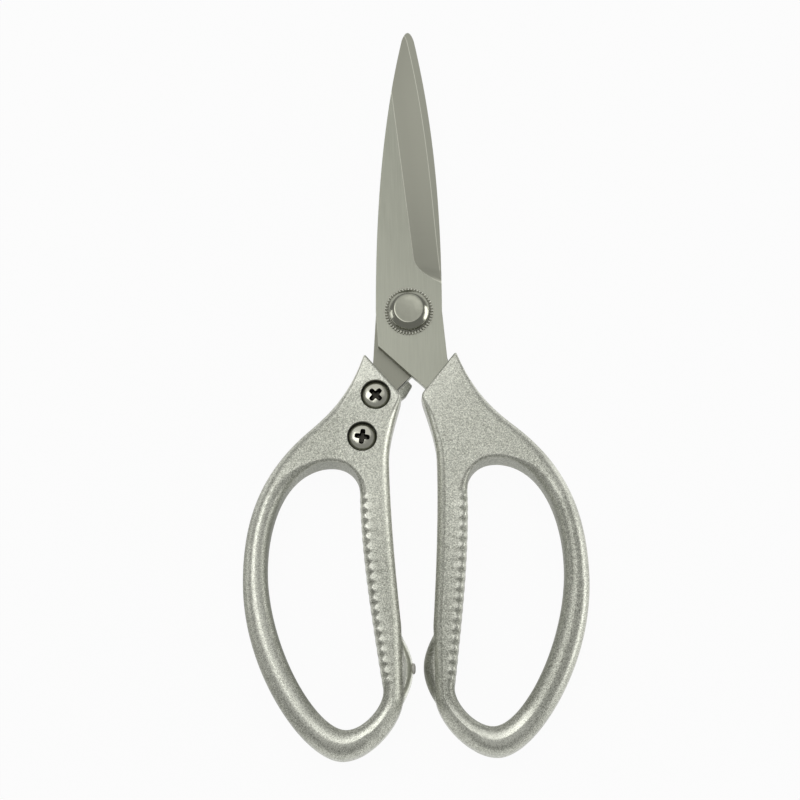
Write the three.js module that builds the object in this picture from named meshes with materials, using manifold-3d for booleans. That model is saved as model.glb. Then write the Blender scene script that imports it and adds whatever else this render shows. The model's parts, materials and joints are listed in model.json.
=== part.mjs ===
// Scissors with cast metal handles: two ground blades on one pivot bolt, each in a handle of its own.
//
// Millimetres. X runs to the right, Y to the blade tips and Z up, with the scissors lying on their back.
// Everything is drawn from the pivot, for the front half: its blade lies in front and its handle goes
// right. The rear half is the same half turned over about Y. The finished group stands on z = 0,
// with its origin under the middle of its outline.

import * as THREE from 'three';
import { mergeVertices } from 'three/addons/utils/BufferGeometryUtils.js';
import Module from 'manifold-3d';

// Blades
const BLADE_THICKNESS = 2.5;
const BLADE_GAP = 0.2;
const BLADE_HALF_WIDTH = 9.1;
const BLADE_LEAN_DEG = 1.25;
const TIP_REACH = 81.5;
const TIP_HALF_WIDTH = 1.7;
const TIP_ROUND = 2.5;
const HEEL_CORNER_DROP = 9.5;
const HEEL_CORNER_SET_IN = 0.4;
const SHANK_HEEL_DROP = 17.9;

// Hollow grinding of each blade, on its outer face
const GRIND_START = 7.9;
const GRIND_RUN_OUT = 7.3;
const GRIND_LINE_AT_START = 2.3;
const GRIND_LINE_SLOPE = 0.101;
const EDGE_BEVEL_WIDTH = 1.8;
const EDGE_BEVEL_THICKNESS = 0.9;
const EDGE_THICKNESS = 0.25;

// Tang, and the two screws that hold it in the handle
const TANG_WIDTH = 7.6;
const NECK_LEAN_DEG = 18.8;
const UPPER_SCREW_OUT = 9.7;
const UPPER_SCREW_DROP = 23.9;
const SCREW_PITCH = 12.2;
const SHANK_ABOVE_SCREW = 9.6;
const SCREW_DIAMETER = 4;
const SCREW_HEAD_DIAMETER = 8;
const SCREW_HEAD_HEIGHT = 2.4;
const SCREW_HEAD_ROUND = 1.1;
const SCREW_POINT = 0.4;
const CROSS_SPAN = 4.4;
const CROSS_WIDTH = 1;
const CROSS_DEPTH = 1.4;
const COUNTERBORE_MARGIN = 0.4;
const HEAD_SUNK = 0.2;

// Pivot
const PIVOT_DIAMETER = 6;
const CAP_DIAMETER = 11.3;
const CAP_TOP_DIAMETER = 9;
const CAP_HEIGHT = 2.6;
const CAP_RIM_HEIGHT = 1.1;
const CAP_EDGE_ROUND = 0.4;
const TOOTHED_WASHER_DIAMETER = 13.4;
const TOOTHED_WASHER_THICKNESS = 0.7;
const TOOTH_COUNT = 48;
const TOOTH_DEPTH = 0.45;
const SPRING_WASHER_DIAMETER = 11.5;
const SPRING_WASHER_THICKNESS = 0.35;
const SPRING_WASHER_DISH = 0.25;
const NUT_ACROSS_FLATS = 10;
const NUT_THICKNESS = 2.3;

// Clearances
const PIVOT_CLEARANCE = 0.1;
const FIT_GAP = 0.1;
const POCKET_CLEARANCE = 0.3;
const SCREW_CLEARANCE = 0.2;

// Handle casting
const POCKET_WALL = 3.2;
const HEEL_REACH = 123;
const NECK_OUTER_X = 12.6;
const NECK_OUTER_DROP = 11.9;
const NECK_FLARE_DEG = 19.5;
const NECK_RUN = 9.2;
const NECK_INNER_X = 2.5;
const NECK_INNER_DROP = 24.1;
const SHOULDER_X = 27.9;
const SHOULDER_DROP = 33;
const SHOULDER_SLOPE_DEG = 39.2;
const SHOULDER_RUN = 10.5;
const SHOULDER_REACH = 13;
const LOOP_TOP = 42.3;
const LOOP_TOP_X = 22.5;
const LOOP_OUT = 40.05;
const LOOP_WAIST = 72;
const LOOP_HEEL_X = 19.6;
const HEEL_SET_OUT = 1.2;
const HEEL_WIDTH = 8.1;
const BOW_WIDTH = 6.8;
const GRIP_WIDTH = 8.1;
const GRIP_HIGH = 50.5;
const GRIP_HIGH_X = 14.6;
const GRIP_LOW_RISE = 19;
const GRIP_LOW_X = 9.6;
const GRIP_INSIDE_RISE = 15.6;
const GRIP_INSIDE_LOW_X = 4.3;
const GRIP_INSIDE_BEND = 1.2;
const HEEL_INSIDE_BEND = 0.9;
const HIGH_CORNER_SET_BACK = 1;
const WALL_DRAFT_DEG = 2;
const NECK_ROUND = 1.3;
const GRIP_ROUND = 2;
const BOW_FLAT = 1.5;
const BOW_ROUND_DEPTH = 4.4;
const RIB_COUNT = 19;
const RIB_HEIGHT = 0.35;
const LIP_REACH = 4.6;
const LIP_WIDTH = 1.6;

// Stop tabs, and the bumper in the left one
const TAB_TIP_X = 1.4;
const TAB_RISE = 24.4;
const TAB_HALF_LENGTH = 10.5;
const TAB_TOP_ROOM = 1;
const TAB_TOP_BULGE = 1.2;
const TAB_BOTTOM_BULGE = 1.6;
const TAB_THICKNESS = 7;
const TAB_ROOT = 4;
const BUMPER_DIAMETER = 3;
const BUMPER_LENGTH = 2.6;
const BUMPER_PROUD = 0.65;
const BUMPER_ROUND = 0.4;

// Shares of its own span that each curve runs on before it bends
const SHARE = {
  bladeSide: 1 / 3, bladeBelly: 0.8, bladeBellyRise: 0.66,
  bowTop: 0.57, bowRise: 0.58, bowDrop: 0.47, loopHeel: 0.39, lowCorner: 0.45, lowCornerDrop: 0.43,
  gripBend: 1.4, highCorner: 0.6,
  neckInside: 0.28, neckInsideDrop: 0.22, neckInsideRise: 0.36,
  heelInside: 0.45, heelInsideDrop: 0.41, heelOutside: 0.39, bowOutsideDrop: 0.5, bowOutsideRise: 0.54,
};

// Fineness of the facets
const ROUND_STEPS = 2;
const CURVE_STEPS = 10;
const RIB_STEPS = 3;
const CIRCLE_SIDES = 24;
const PIVOT_SIDES = 36;
const GRIND_STATIONS = 16;
const GRIND_CROWDING = 1.5;
const OVERCUT = 1;
const MERGE_DISTANCE = 1e-4;

// Levels, measured from the plane where the blades meet
const bladeBottom = BLADE_GAP / 2;
const bladeTop = bladeBottom + BLADE_THICKNESS;
const halfThickness = bladeTop + POCKET_WALL;
const screwSeat = -halfThickness + SCREW_HEAD_HEIGHT + HEAD_SUNK;
const screwLength = bladeTop - screwSeat + SCREW_POINT;

// Distances down the grip, tied to the heel
const gripLow = HEEL_REACH - GRIP_LOW_RISE;
const gripInsideLow = HEEL_REACH - GRIP_INSIDE_RISE;
const tabDrop = HEEL_REACH - TAB_RISE;

const wasm = await Module();
wasm.setup();

const radians = THREE.MathUtils.degToRad;
const at = (x, y) => new THREE.Vector2(x, y);

// The neck's own direction, down along its two screws, and the direction across it
const neckDown = at(Math.sin(radians(NECK_LEAN_DEG)), -Math.cos(radians(NECK_LEAN_DEG)));
const neckAcross = at(-neckDown.y, neckDown.x);
const upperScrew = at(UPPER_SCREW_OUT, -UPPER_SCREW_DROP);
const lowerScrew = upperScrew.clone().addScaledVector(neckDown, SCREW_PITCH);

// A closed mesh as a solid that can be joined and cut
function toSolid(geometry) {
  const bare = geometry.clone();
  bare.deleteAttribute('normal');
  bare.deleteAttribute('uv');
  const merged = mergeVertices(bare, MERGE_DISTANCE);
  return solidOf(merged.attributes.position.array, merged.index.array);
}

function solidOf(positions, triangles) {
  const vertProperties = new Float32Array(positions);
  const triVerts = new Uint32Array(triangles);
  return new wasm.Manifold(new wasm.Mesh({ numProp: 3, vertProperties, triVerts }));
}

function toGeometry(solid) {
  const { vertProperties, triVerts } = solid.getMesh();
  const geometry = new THREE.BufferGeometry();
  geometry.setAttribute('position', new THREE.BufferAttribute(vertProperties, 3));
  geometry.setIndex(new THREE.BufferAttribute(triVerts, 1));
  return geometry;
}

// A flat outline as a slab between two levels
function slab(shape, low, high, curveSegments = CURVE_STEPS) {
  const settings = { depth: high - low, bevelEnabled: false, curveSegments };
  return new THREE.ExtrudeGeometry(shape, settings).translate(0, 0, low);
}

function circle(radius) {
  return new THREE.Shape().absarc(0, 0, radius, 0, 2 * Math.PI);
}

// An upright rod between two levels, as a solid for cutting round holes
function rod(centre, radius, low, high, sides = CIRCLE_SIDES) {
  const geometry = new THREE.CylinderGeometry(radius, radius, high - low, sides);
  geometry.rotateX(Math.PI / 2);
  geometry.translate(centre.x, centre.y, (low + high) / 2);
  return toSolid(geometry);
}

// A turned piece from its profile of radius and height, with its axis along Z
function turned(profile, sides) {
  return new THREE.LatheGeometry(profile.map(([radius, height]) => at(radius, height)), sides)
    .rotateX(Math.PI / 2);
}

// A quarter round between two points of a turned profile, bulging away from the axis and up
function quarterRound(fromRadius, fromHeight, toRadius, toHeight, steps = ROUND_STEPS) {
  return Array.from({ length: steps + 1 }, (_, step) => {
    const angle = (step / steps) * (Math.PI / 2);
    const radius = toRadius + (fromRadius - toRadius) * Math.cos(angle);
    const height = fromHeight + (toHeight - fromHeight) * Math.sin(angle);
    return [radius, height];
  });
}

// Left-hand normals at the points of a closed outline, long enough to keep every edge parallel
function normalsOf(points) {
  const edgeNormal = (from, to) => at(from.y - to.y, to.x - from.x).normalize();
  return points.map((point, i) => {
    const before = edgeNormal(points.at(i - 1), point);
    const after = edgeNormal(point, points[(i + 1) % points.length]);
    return before.clone().add(after).divideScalar(1 + before.dot(after));
  });
}

function grown(points, distance) {
  const normals = normalsOf(points);
  return points.map((point, i) => point.clone().addScaledVector(normals[i], -distance));
}

// Rings of points joined by walls into one closed mesh
class Shell {
  positions = [];
  triangles = [];

  ring(points) {
    const first = this.positions.length / 3;
    points.forEach((point) => this.positions.push(point.x, point.y, point.z));
    return points.map((_, i) => first + i);
  }

  wall(lower, upper) {
    lower.forEach((corner, i) => {
      const next = (i + 1) % lower.length;
      this.triangles.push(corner, lower[next], upper[next], corner, upper[next], upper[i]);
    });
  }

  solid() {
    return solidOf(this.positions, this.triangles);
  }
}

// Blade outline, counter-clockwise from the heel corner: shank, tang, cutting edge, tip and spine.
// Past the pivot both blades are set a hair to one side, so the turned one leans the other way.
function bladeOutline(leanDegrees) {
  const tangHalf = TANG_WIDTH / 2;
  const tangInner = upperScrew.clone().addScaledVector(neckAcross, -tangHalf);
  const tangEnd = lowerScrew.clone().addScaledVector(neckAcross, -tangHalf);
  const tangOuter = upperScrew.clone().addScaledVector(neckAcross, tangHalf)
    .addScaledVector(neckDown, -SHANK_ABOVE_SCREW);
  const heelCorner = at(HEEL_CORNER_SET_IN - BLADE_HALF_WIDTH, -HEEL_CORNER_DROP);
  const shankHeel = at(0, -SHANK_HEEL_DROP);
  const heelSlope = shankHeel.clone().sub(heelCorner).normalize();
  const bend = tangInner.distanceTo(shankHeel) / 3;
  const shankBend = shankHeel.clone().addScaledVector(heelSlope, bend);
  const tangBend = tangInner.clone().addScaledVector(neckDown, -bend);
  const across = Math.atan2(neckAcross.y, neckAcross.x);

  const lower = new THREE.Path();
  lower.moveTo(-BLADE_HALF_WIDTH, 0);
  lower.lineTo(heelCorner.x, heelCorner.y);
  lower.lineTo(shankHeel.x, shankHeel.y);
  lower.bezierCurveTo(shankBend.x, shankBend.y, tangBend.x, tangBend.y, tangInner.x, tangInner.y);
  lower.lineTo(tangEnd.x, tangEnd.y);
  lower.absarc(lowerScrew.x, lowerScrew.y, tangHalf, across - Math.PI, across);
  lower.lineTo(tangOuter.x, tangOuter.y);

  // Each edge of the working part keeps its width past the pivot, then draws in to the tip
  const tipBase = TIP_REACH - TIP_ROUND;
  const belly = BLADE_HALF_WIDTH - TIP_HALF_WIDTH;
  const side = new THREE.Path();
  side.moveTo(BLADE_HALF_WIDTH, 0);
  side.bezierCurveTo(BLADE_HALF_WIDTH, SHARE.bladeSide * tipBase, TIP_HALF_WIDTH + SHARE.bladeBelly * belly,
    SHARE.bladeBellyRise * tipBase, TIP_HALF_WIDTH, tipBase);
  side.quadraticCurveTo(TIP_HALF_WIDTH / 2, TIP_REACH, 0, TIP_REACH);
  const edge = side.getPoints(CURVE_STEPS);
  const spine = edge.slice(1, -1).reverse().map((point) => at(-point.x, point.y));
  const lean = Math.tan(radians(leanDegrees));
  const working = [...edge, ...spine].map((point) => at(point.x + lean * point.y, point.y));
  return withoutRepeats([...lower.getPoints(CURVE_STEPS), ...working]);
}

function withoutRepeats(points) {
  return points.filter((point, i) => point.distanceTo(points.at(i - 1)) > FIT_GAP / 2);
}

// What the grinding wheel takes off: a long scoop over the cutting edge, deeper towards the edge
function grinding(outline) {
  const working = outline.filter((point) => point.y >= 0);
  const top = working.reduce((best, point) => (point.y > best.y ? point : best));
  const edge = working.filter((point) => point.x >= top.x);
  const edgeAt = (y) => {
    const above = edge.findIndex((point) => point.y >= y);
    if (above < 1) return above < 0 ? top.x : edge[0].x;
    const share = (y - edge[above - 1].y) / (edge[above].y - edge[above - 1].y);
    return THREE.MathUtils.lerp(edge[above - 1].x, edge[above].x, share);
  };
  const runOutEnd = GRIND_START + GRIND_RUN_OUT;
  const startOverhang = edgeAt(GRIND_START) - GRIND_LINE_AT_START;
  const lineAt = (y) => {
    const line = GRIND_LINE_AT_START - GRIND_LINE_SLOPE * (y - GRIND_START);
    return line + startOverhang * Math.max(0, (runOutEnd - y) / GRIND_RUN_OUT) ** 2;
  };

  const shell = new Shell();
  const rings = Array.from({ length: GRIND_STATIONS + 1 }, (_, station) => {
    const share = (station / GRIND_STATIONS) ** GRIND_CROWDING;
    const y = THREE.MathUtils.lerp(GRIND_START, TIP_REACH + OVERCUT, share);
    const deep = THREE.MathUtils.smoothstep(y, GRIND_START, runOutEnd);
    const edgeX = edgeAt(y);
    const lineX = lineAt(y);
    const outX = edgeX + OVERCUT;
    const bevelX = Math.max(edgeX - EDGE_BEVEL_WIDTH * deep, (lineX + edgeX) / 2);
    const bevelZ = THREE.MathUtils.lerp(bladeTop, bladeBottom + EDGE_BEVEL_THICKNESS, deep);
    const edgeZ = THREE.MathUtils.lerp(bladeTop, bladeBottom + EDGE_THICKNESS, deep);
    const section = [[outX, bladeTop + OVERCUT], [lineX, bladeTop + OVERCUT], [lineX, bladeTop],
      [bevelX, bevelZ], [edgeX, edgeZ], [outX, edgeZ]];
    return shell.ring(section.map(([x, z]) => new THREE.Vector3(x, y, z)));
  });
  for (let i = 0; i < GRIND_STATIONS; i += 1) shell.wall(rings[i + 1], rings[i]);
  const [first, last] = [rings[0], rings.at(-1)];
  for (let i = 1; i < first.length - 1; i += 1) {
    shell.triangles.push(first[0], first[i], first[i + 1], last[0], last[i + 1], last[i]);
  }
  return shell.solid();
}

function bladeSolid(leanDegrees) {
  const outline = bladeOutline(leanDegrees);
  const blank = toSolid(slab(new THREE.Shape(outline), bladeBottom, bladeTop));
  const pivotRadius = PIVOT_DIAMETER / 2 + PIVOT_CLEARANCE;
  const screwRadius = SCREW_DIAMETER / 2 + SCREW_CLEARANCE;
  const [low, high] = [bladeBottom - OVERCUT, bladeTop + OVERCUT];
  return blank
    .subtract(grinding(outline))
    .subtract(rod(at(0, 0), pivotRadius, low, high, PIVOT_SIDES))
    .subtract(rod(upperScrew, screwRadius, low, high))
    .subtract(rod(lowerScrew, screwRadius, low, high));
}

// Finger opening, clockwise so that the metal lies on its left: top, bow side, heel and ribbed grip
function loopCurves() {
  const loopBottom = HEEL_REACH - HEEL_WIDTH;
  const upper = LOOP_WAIST - LOOP_TOP;
  const lower = loopBottom - LOOP_WAIST;
  const gripLength = gripLow - GRIP_HIGH;
  const gripCurve = gripLength / 3;
  const lowCorner = loopBottom - gripLow;
  const highCorner = GRIP_HIGH - LOOP_TOP;
  const bowTop = LOOP_OUT - LOOP_TOP_X;
  const bowHeel = LOOP_OUT - LOOP_HEEL_X;
  const lowReach = LOOP_HEEL_X - GRIP_LOW_X;
  const lean = (GRIP_HIGH_X - GRIP_LOW_X) / gripLength;
  const cornerX = (GRIP_HIGH_X + LOOP_TOP_X) / 2 - HIGH_CORNER_SET_BACK;

  const bow = new THREE.Path();
  bow.moveTo(LOOP_TOP_X, -LOOP_TOP);
  bow.bezierCurveTo(LOOP_TOP_X + SHARE.bowTop * bowTop, -LOOP_TOP,
    LOOP_OUT, SHARE.bowRise * upper - LOOP_WAIST, LOOP_OUT, -LOOP_WAIST);
  bow.bezierCurveTo(LOOP_OUT, -LOOP_WAIST - SHARE.bowDrop * lower,
    LOOP_HEEL_X + SHARE.loopHeel * bowHeel, -loopBottom, LOOP_HEEL_X, -loopBottom);
  bow.bezierCurveTo(LOOP_HEEL_X - SHARE.lowCorner * lowReach, -loopBottom,
    GRIP_LOW_X - (lean * lowCorner) / 3, -gripLow - SHARE.lowCornerDrop * lowCorner, GRIP_LOW_X, -gripLow);
  const grip = new THREE.CubicBezierCurve(
    at(GRIP_LOW_X, -gripLow),
    at(GRIP_LOW_X + SHARE.gripBend * lean * gripCurve, gripCurve - gripLow),
    at(GRIP_HIGH_X, -GRIP_HIGH - gripCurve),
    at(GRIP_HIGH_X, -GRIP_HIGH),
  );
  const corner = new THREE.CubicBezierCurve(
    at(GRIP_HIGH_X, -GRIP_HIGH),
    at(GRIP_HIGH_X, SHARE.highCorner * highCorner - GRIP_HIGH),
    at(cornerX, -LOOP_TOP),
    at(LOOP_TOP_X, -LOOP_TOP),
  );
  return { bow, grip, corner };
}

// Outer outline of the casting, counter-clockwise from the inner corner of its neck
function handleOutline() {
  const bowOut = LOOP_OUT + BOW_WIDTH;
  const bowWaist = LOOP_WAIST + BOW_WIDTH / 2;
  const gripInsideX = GRIP_HIGH_X - GRIP_WIDTH;
  const gripInsideHigh = GRIP_HIGH - GRIP_WIDTH;
  const heelX = LOOP_HEEL_X + HEEL_SET_OUT;
  const heelInside = heelX - GRIP_INSIDE_LOW_X;
  const tabTop = tabDrop - TAB_HALF_LENGTH - TAB_TOP_ROOM;
  const heelRise = HEEL_REACH - bowWaist;
  const neckRise = gripInsideHigh - NECK_INNER_DROP;
  const neckSide = gripInsideX - NECK_INNER_X;
  const gripRun = (tabTop - gripInsideHigh) / 3;
  const bowRise = bowWaist - SHOULDER_DROP;
  const [slope, flare] = [radians(SHOULDER_SLOPE_DEG), radians(NECK_FLARE_DEG)];
  const along = (distance) => at(SHOULDER_X + distance * Math.cos(slope), -SHOULDER_DROP - distance * Math.sin(slope));
  const [towardsBow, towardsNeck] = [along(SHOULDER_REACH), along(-SHOULDER_RUN)];
  const neckBend = at(NECK_OUTER_X + NECK_RUN * Math.sin(flare), -NECK_OUTER_DROP - NECK_RUN * Math.cos(flare));

  const outline = new THREE.Path();
  outline.moveTo(NECK_INNER_X, -NECK_INNER_DROP);
  outline.bezierCurveTo(NECK_INNER_X + SHARE.neckInside * neckSide, -NECK_INNER_DROP - SHARE.neckInsideDrop * neckRise,
    gripInsideX, SHARE.neckInsideRise * neckRise - gripInsideHigh, gripInsideX, -gripInsideHigh);
  outline.bezierCurveTo(gripInsideX, -gripInsideHigh - gripRun,
    GRIP_INSIDE_LOW_X + GRIP_INSIDE_BEND, gripRun - tabTop, GRIP_INSIDE_LOW_X, -tabTop);
  outline.lineTo(GRIP_INSIDE_LOW_X, -gripInsideLow);
  outline.bezierCurveTo(GRIP_INSIDE_LOW_X + HEEL_INSIDE_BEND, -gripInsideLow - SHARE.heelInsideDrop * GRIP_INSIDE_RISE,
    heelX - SHARE.heelInside * heelInside, -HEEL_REACH, heelX, -HEEL_REACH);
  outline.bezierCurveTo(heelX + SHARE.heelOutside * (bowOut - heelX), -HEEL_REACH,
    bowOut, -bowWaist - SHARE.bowOutsideDrop * heelRise, bowOut, -bowWaist);
  outline.bezierCurveTo(bowOut, SHARE.bowOutsideRise * bowRise - bowWaist,
    towardsBow.x, towardsBow.y, SHOULDER_X, -SHOULDER_DROP);
  outline.bezierCurveTo(towardsNeck.x, towardsNeck.y, neckBend.x, neckBend.y, NECK_OUTER_X, -NECK_OUTER_DROP);
  return withoutRepeats(outline.getPoints(CURVE_STEPS));
}

// How far an edge of the casting is rounded in from its side and down from its face
function roundingAt(point) {
  const across = THREE.MathUtils.smoothstep(point.x, GRIP_HIGH_X, LOOP_TOP_X);
  const down = THREE.MathUtils.smoothstep(-point.y, SHOULDER_DROP, GRIP_HIGH);
  const bowRound = (BOW_WIDTH - BOW_FLAT) / 2;
  const along = THREE.MathUtils.lerp(GRIP_ROUND, bowRound, across);
  const deep = THREE.MathUtils.lerp(GRIP_ROUND, BOW_ROUND_DEPTH, across);
  return {
    inwards: THREE.MathUtils.lerp(NECK_ROUND, along, down),
    downwards: THREE.MathUtils.lerp(NECK_ROUND, deep, down),
  };
}

// Closed casting between an outer outline and an opening, with drafted walls and rounded edges
function casting(outlines) {
  const shell = new Shell();
  const draft = Math.tan(radians(WALL_DRAFT_DEG));
  const levels = Array.from({ length: ROUND_STEPS + 1 }, (_, step) => (step / ROUND_STEPS) * (Math.PI / 2));
  const caps = outlines.map(({ points, ridges }) => {
    const normals = normalsOf(points);
    const ringAt = (side, angle) => shell.ring(points.map((point, i) => {
      const { inwards, downwards } = roundingAt(point);
      const wall = (halfThickness - downwards) * Math.abs(side);
      const inset = wall * draft + inwards * (1 - Math.cos(angle)) - ridges[i] * Math.cos(angle);
      const height = side * (wall + downwards * Math.sin(angle));
      return new THREE.Vector3(point.x + normals[i].x * inset, point.y + normals[i].y * inset, height);
    }));
    const back = levels.toReversed().map((angle) => ringAt(-1, angle));
    const front = levels.map((angle) => ringAt(1, angle));
    const rings = [...back, ringAt(0, 0), ...front];
    for (let i = 1; i < rings.length; i += 1) shell.wall(rings[i - 1], rings[i]);
    return { bottom: rings[0], top: rings.at(-1) };
  });

  const flat = (ring) => ring.map((i) => at(shell.positions[3 * i], shell.positions[3 * i + 1]));
  for (const face of ['bottom', 'top']) {
    const rings = caps.map((cap) => cap[face]);
    const corners = rings.flat();
    const [outside, ...openings] = rings.map(flat);
    for (const [a, b, c] of THREE.ShapeUtils.triangulateShape(outside, openings)) {
      const order = face === 'top' ? [a, b, c] : [a, c, b];
      shell.triangles.push(...order.map((corner) => corners[corner]));
    }
  }
  return shell.solid();
}

// The opening's points, with half-round ribs along the grip side
function loopOutline() {
  const { bow, grip, corner } = loopCurves();
  const plain = bow.getPoints(CURVE_STEPS);
  const ribbed = grip.getSpacedPoints(RIB_COUNT * RIB_STEPS);
  const turn = corner.getPoints(CURVE_STEPS);
  const points = [...plain, ...ribbed.slice(1), ...turn.slice(1, -1)];
  const ridges = points.map((_, i) => {
    const step = i - plain.length + 1;
    const onGrip = step > 0 && step < ribbed.length;
    return onGrip ? RIB_HEIGHT * Math.abs(Math.sin((step / RIB_STEPS) * Math.PI)) : 0;
  });
  return { points, ridges };
}

// Stop tab on the inner side of the grip, thinner than the bar it grows from
function tabSolid() {
  const [top, bottom] = [TAB_HALF_LENGTH - tabDrop, -TAB_HALF_LENGTH - tabDrop];
  const rootX = GRIP_INSIDE_LOW_X + TAB_ROOT;
  const bulge = TAB_HALF_LENGTH / 3;
  const shape = new THREE.Shape();
  shape.moveTo(rootX, bottom + bulge);
  shape.lineTo(rootX, top - bulge);
  shape.lineTo(GRIP_INSIDE_LOW_X + FIT_GAP, top);
  shape.bezierCurveTo(GRIP_INSIDE_LOW_X - TAB_TOP_BULGE, top - bulge, TAB_TIP_X, bulge - tabDrop, TAB_TIP_X, -tabDrop);
  shape.bezierCurveTo(TAB_TIP_X, -tabDrop - bulge, GRIP_INSIDE_LOW_X - TAB_BOTTOM_BULGE, bottom + bulge,
    GRIP_INSIDE_LOW_X + FIT_GAP, bottom);
  return toSolid(slab(shape, -TAB_THICKNESS / 2, TAB_THICKNESS / 2));
}

// Lip of the left handle beside the tang's mouth, which carries on the inner wall of the pocket
function lipSolid() {
  const inner = at(NECK_INNER_X, -NECK_INNER_DROP);
  const outer = at(NECK_OUTER_X, -NECK_OUTER_DROP);
  const along = outer.clone().sub(inner).normalize();
  const forwards = at(-along.y, along.x);
  const width = LIP_WIDTH + TANG_WIDTH / 4;
  const corner = (across, reach) => inner.clone().addScaledVector(along, across).addScaledVector(forwards, reach);
  const shape = new THREE.Shape([corner(FIT_GAP, -LIP_WIDTH), corner(width, -LIP_WIDTH),
    corner(width, LIP_REACH), corner(LIP_WIDTH, LIP_REACH), corner(FIT_GAP, LIP_REACH / 2)]);
  return toSolid(slab(shape, bladeBottom, bladeTop));
}

function handleSolid(extras) {
  const outer = handleOutline();
  const body = casting([{ points: outer, ridges: outer.map(() => 0) }, loopOutline()]);
  const pocketShape = new THREE.Shape(grown(bladeOutline(0), POCKET_CLEARANCE));
  const pocket = toSolid(slab(pocketShape, bladeBottom - POCKET_CLEARANCE, bladeTop + POCKET_CLEARANCE));
  const boreRadius = SCREW_HEAD_DIAMETER / 2 + COUNTERBORE_MARGIN;
  const holeRadius = SCREW_DIAMETER / 2 + SCREW_CLEARANCE;
  const below = -halfThickness - OVERCUT;
  const holeEnd = bladeTop + SCREW_POINT + POCKET_CLEARANCE;
  return [upperScrew, lowerScrew].reduce(
    (handle, screw) => handle
      .subtract(rod(screw, boreRadius, below, screwSeat + FIT_GAP))
      .subtract(rod(screw, holeRadius, below, holeEnd)),
    [tabSolid(), ...extras].reduce((handle, extra) => handle.add(extra), body).subtract(pocket),
  );
}

// Nub of the left stop tab, turned about X with its round end towards the middle
function bumperGeometry() {
  const radius = BUMPER_DIAMETER / 2;
  const profile = [[0, 0], [radius, 0], ...quarterRound(radius, BUMPER_LENGTH - BUMPER_ROUND,
    radius - BUMPER_ROUND, BUMPER_LENGTH), [0, BUMPER_LENGTH]];
  return turned(profile, CIRCLE_SIDES).rotateY(-Math.PI / 2);
}

function withBumperSeat(handle) {
  const depth = BUMPER_LENGTH - BUMPER_PROUD + FIT_GAP;
  const radius = BUMPER_DIAMETER / 2 + FIT_GAP;
  const seat = new THREE.CylinderGeometry(radius, radius, depth + OVERCUT, CIRCLE_SIDES);
  seat.rotateZ(Math.PI / 2);
  seat.translate(TAB_TIP_X + (depth - OVERCUT) / 2, -tabDrop, 0);
  return handle.subtract(toSolid(seat));
}

// Pan-head screw, seated at z = 0 with its shank upwards and a cross in its head
function screwGeometry() {
  const radius = SCREW_DIAMETER / 2;
  const headRadius = SCREW_HEAD_DIAMETER / 2;
  const wall = SCREW_HEAD_HEIGHT - SCREW_HEAD_ROUND;
  const crown = quarterRound(headRadius, -wall, headRadius - SCREW_HEAD_ROUND, -SCREW_HEAD_HEIGHT);
  const profile = [[0, -SCREW_HEAD_HEIGHT], ...crown.toReversed(), [headRadius, 0], [radius, 0],
    [radius, screwLength - SCREW_POINT], [radius - SCREW_POINT, screwLength], [0, screwLength]];
  const depth = CROSS_DEPTH + OVERCUT;
  const arm = (width, length) => toSolid(new THREE.BoxGeometry(width, length, depth)
    .translate(0, 0, depth / 2 - SCREW_HEAD_HEIGHT - OVERCUT));
  const blank = toSolid(turned(profile, CIRCLE_SIDES));
  return toGeometry(blank.subtract(arm(CROSS_WIDTH, CROSS_SPAN)).subtract(arm(CROSS_SPAN, CROSS_WIDTH)));
}

// Levels of the pivot's stack, from the washer on the front blade to the nut behind the rear one
const toothedBottom = bladeTop + FIT_GAP;
const capBottom = toothedBottom + TOOTHED_WASHER_THICKNESS + FIT_GAP;
const springTop = -bladeTop - FIT_GAP;
const springBottom = springTop - SPRING_WASHER_THICKNESS - SPRING_WASHER_DISH;
const nutTop = springBottom - FIT_GAP;
const nutBottom = nutTop - NUT_THICKNESS;

function boltGeometry() {
  const radius = PIVOT_DIAMETER / 2;
  const capRadius = CAP_DIAMETER / 2;
  const topRadius = CAP_TOP_DIAMETER / 2;
  const capTop = capBottom + CAP_HEIGHT;
  const rim = capBottom + CAP_RIM_HEIGHT;
  const profile = [[0, nutBottom], [radius, nutBottom], [radius, capBottom], [capRadius, capBottom],
    ...quarterRound(capRadius, rim - CAP_EDGE_ROUND, capRadius - CAP_EDGE_ROUND, rim),
    [topRadius, rim + CAP_EDGE_ROUND],
    ...quarterRound(topRadius, capTop - CAP_EDGE_ROUND, topRadius - CAP_EDGE_ROUND, capTop), [0, capTop]];
  return turned(profile, PIVOT_SIDES);
}

function toothedWasherGeometry() {
  const tipRadius = TOOTHED_WASHER_DIAMETER / 2;
  const corners = Array.from({ length: 2 * TOOTH_COUNT }, (_, i) => {
    const radius = i % 2 ? tipRadius - TOOTH_DEPTH : tipRadius;
    const angle = (i / TOOTH_COUNT) * Math.PI;
    return at(radius * Math.cos(angle), radius * Math.sin(angle));
  });
  const shape = new THREE.Shape(corners);
  shape.holes.push(circle(PIVOT_DIAMETER / 2 + FIT_GAP));
  return slab(shape, toothedBottom, toothedBottom + TOOTHED_WASHER_THICKNESS, PIVOT_SIDES / 2);
}

function springWasherGeometry() {
  const inner = PIVOT_DIAMETER / 2 + FIT_GAP;
  const outer = SPRING_WASHER_DIAMETER / 2;
  const rimBottom = springTop - SPRING_WASHER_THICKNESS;
  const boreTop = springBottom + SPRING_WASHER_THICKNESS;
  const profile = [[inner, springBottom], [outer, rimBottom], [outer, springTop], [inner, boreTop],
    [inner, springBottom]];
  return turned(profile, PIVOT_SIDES);
}

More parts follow.
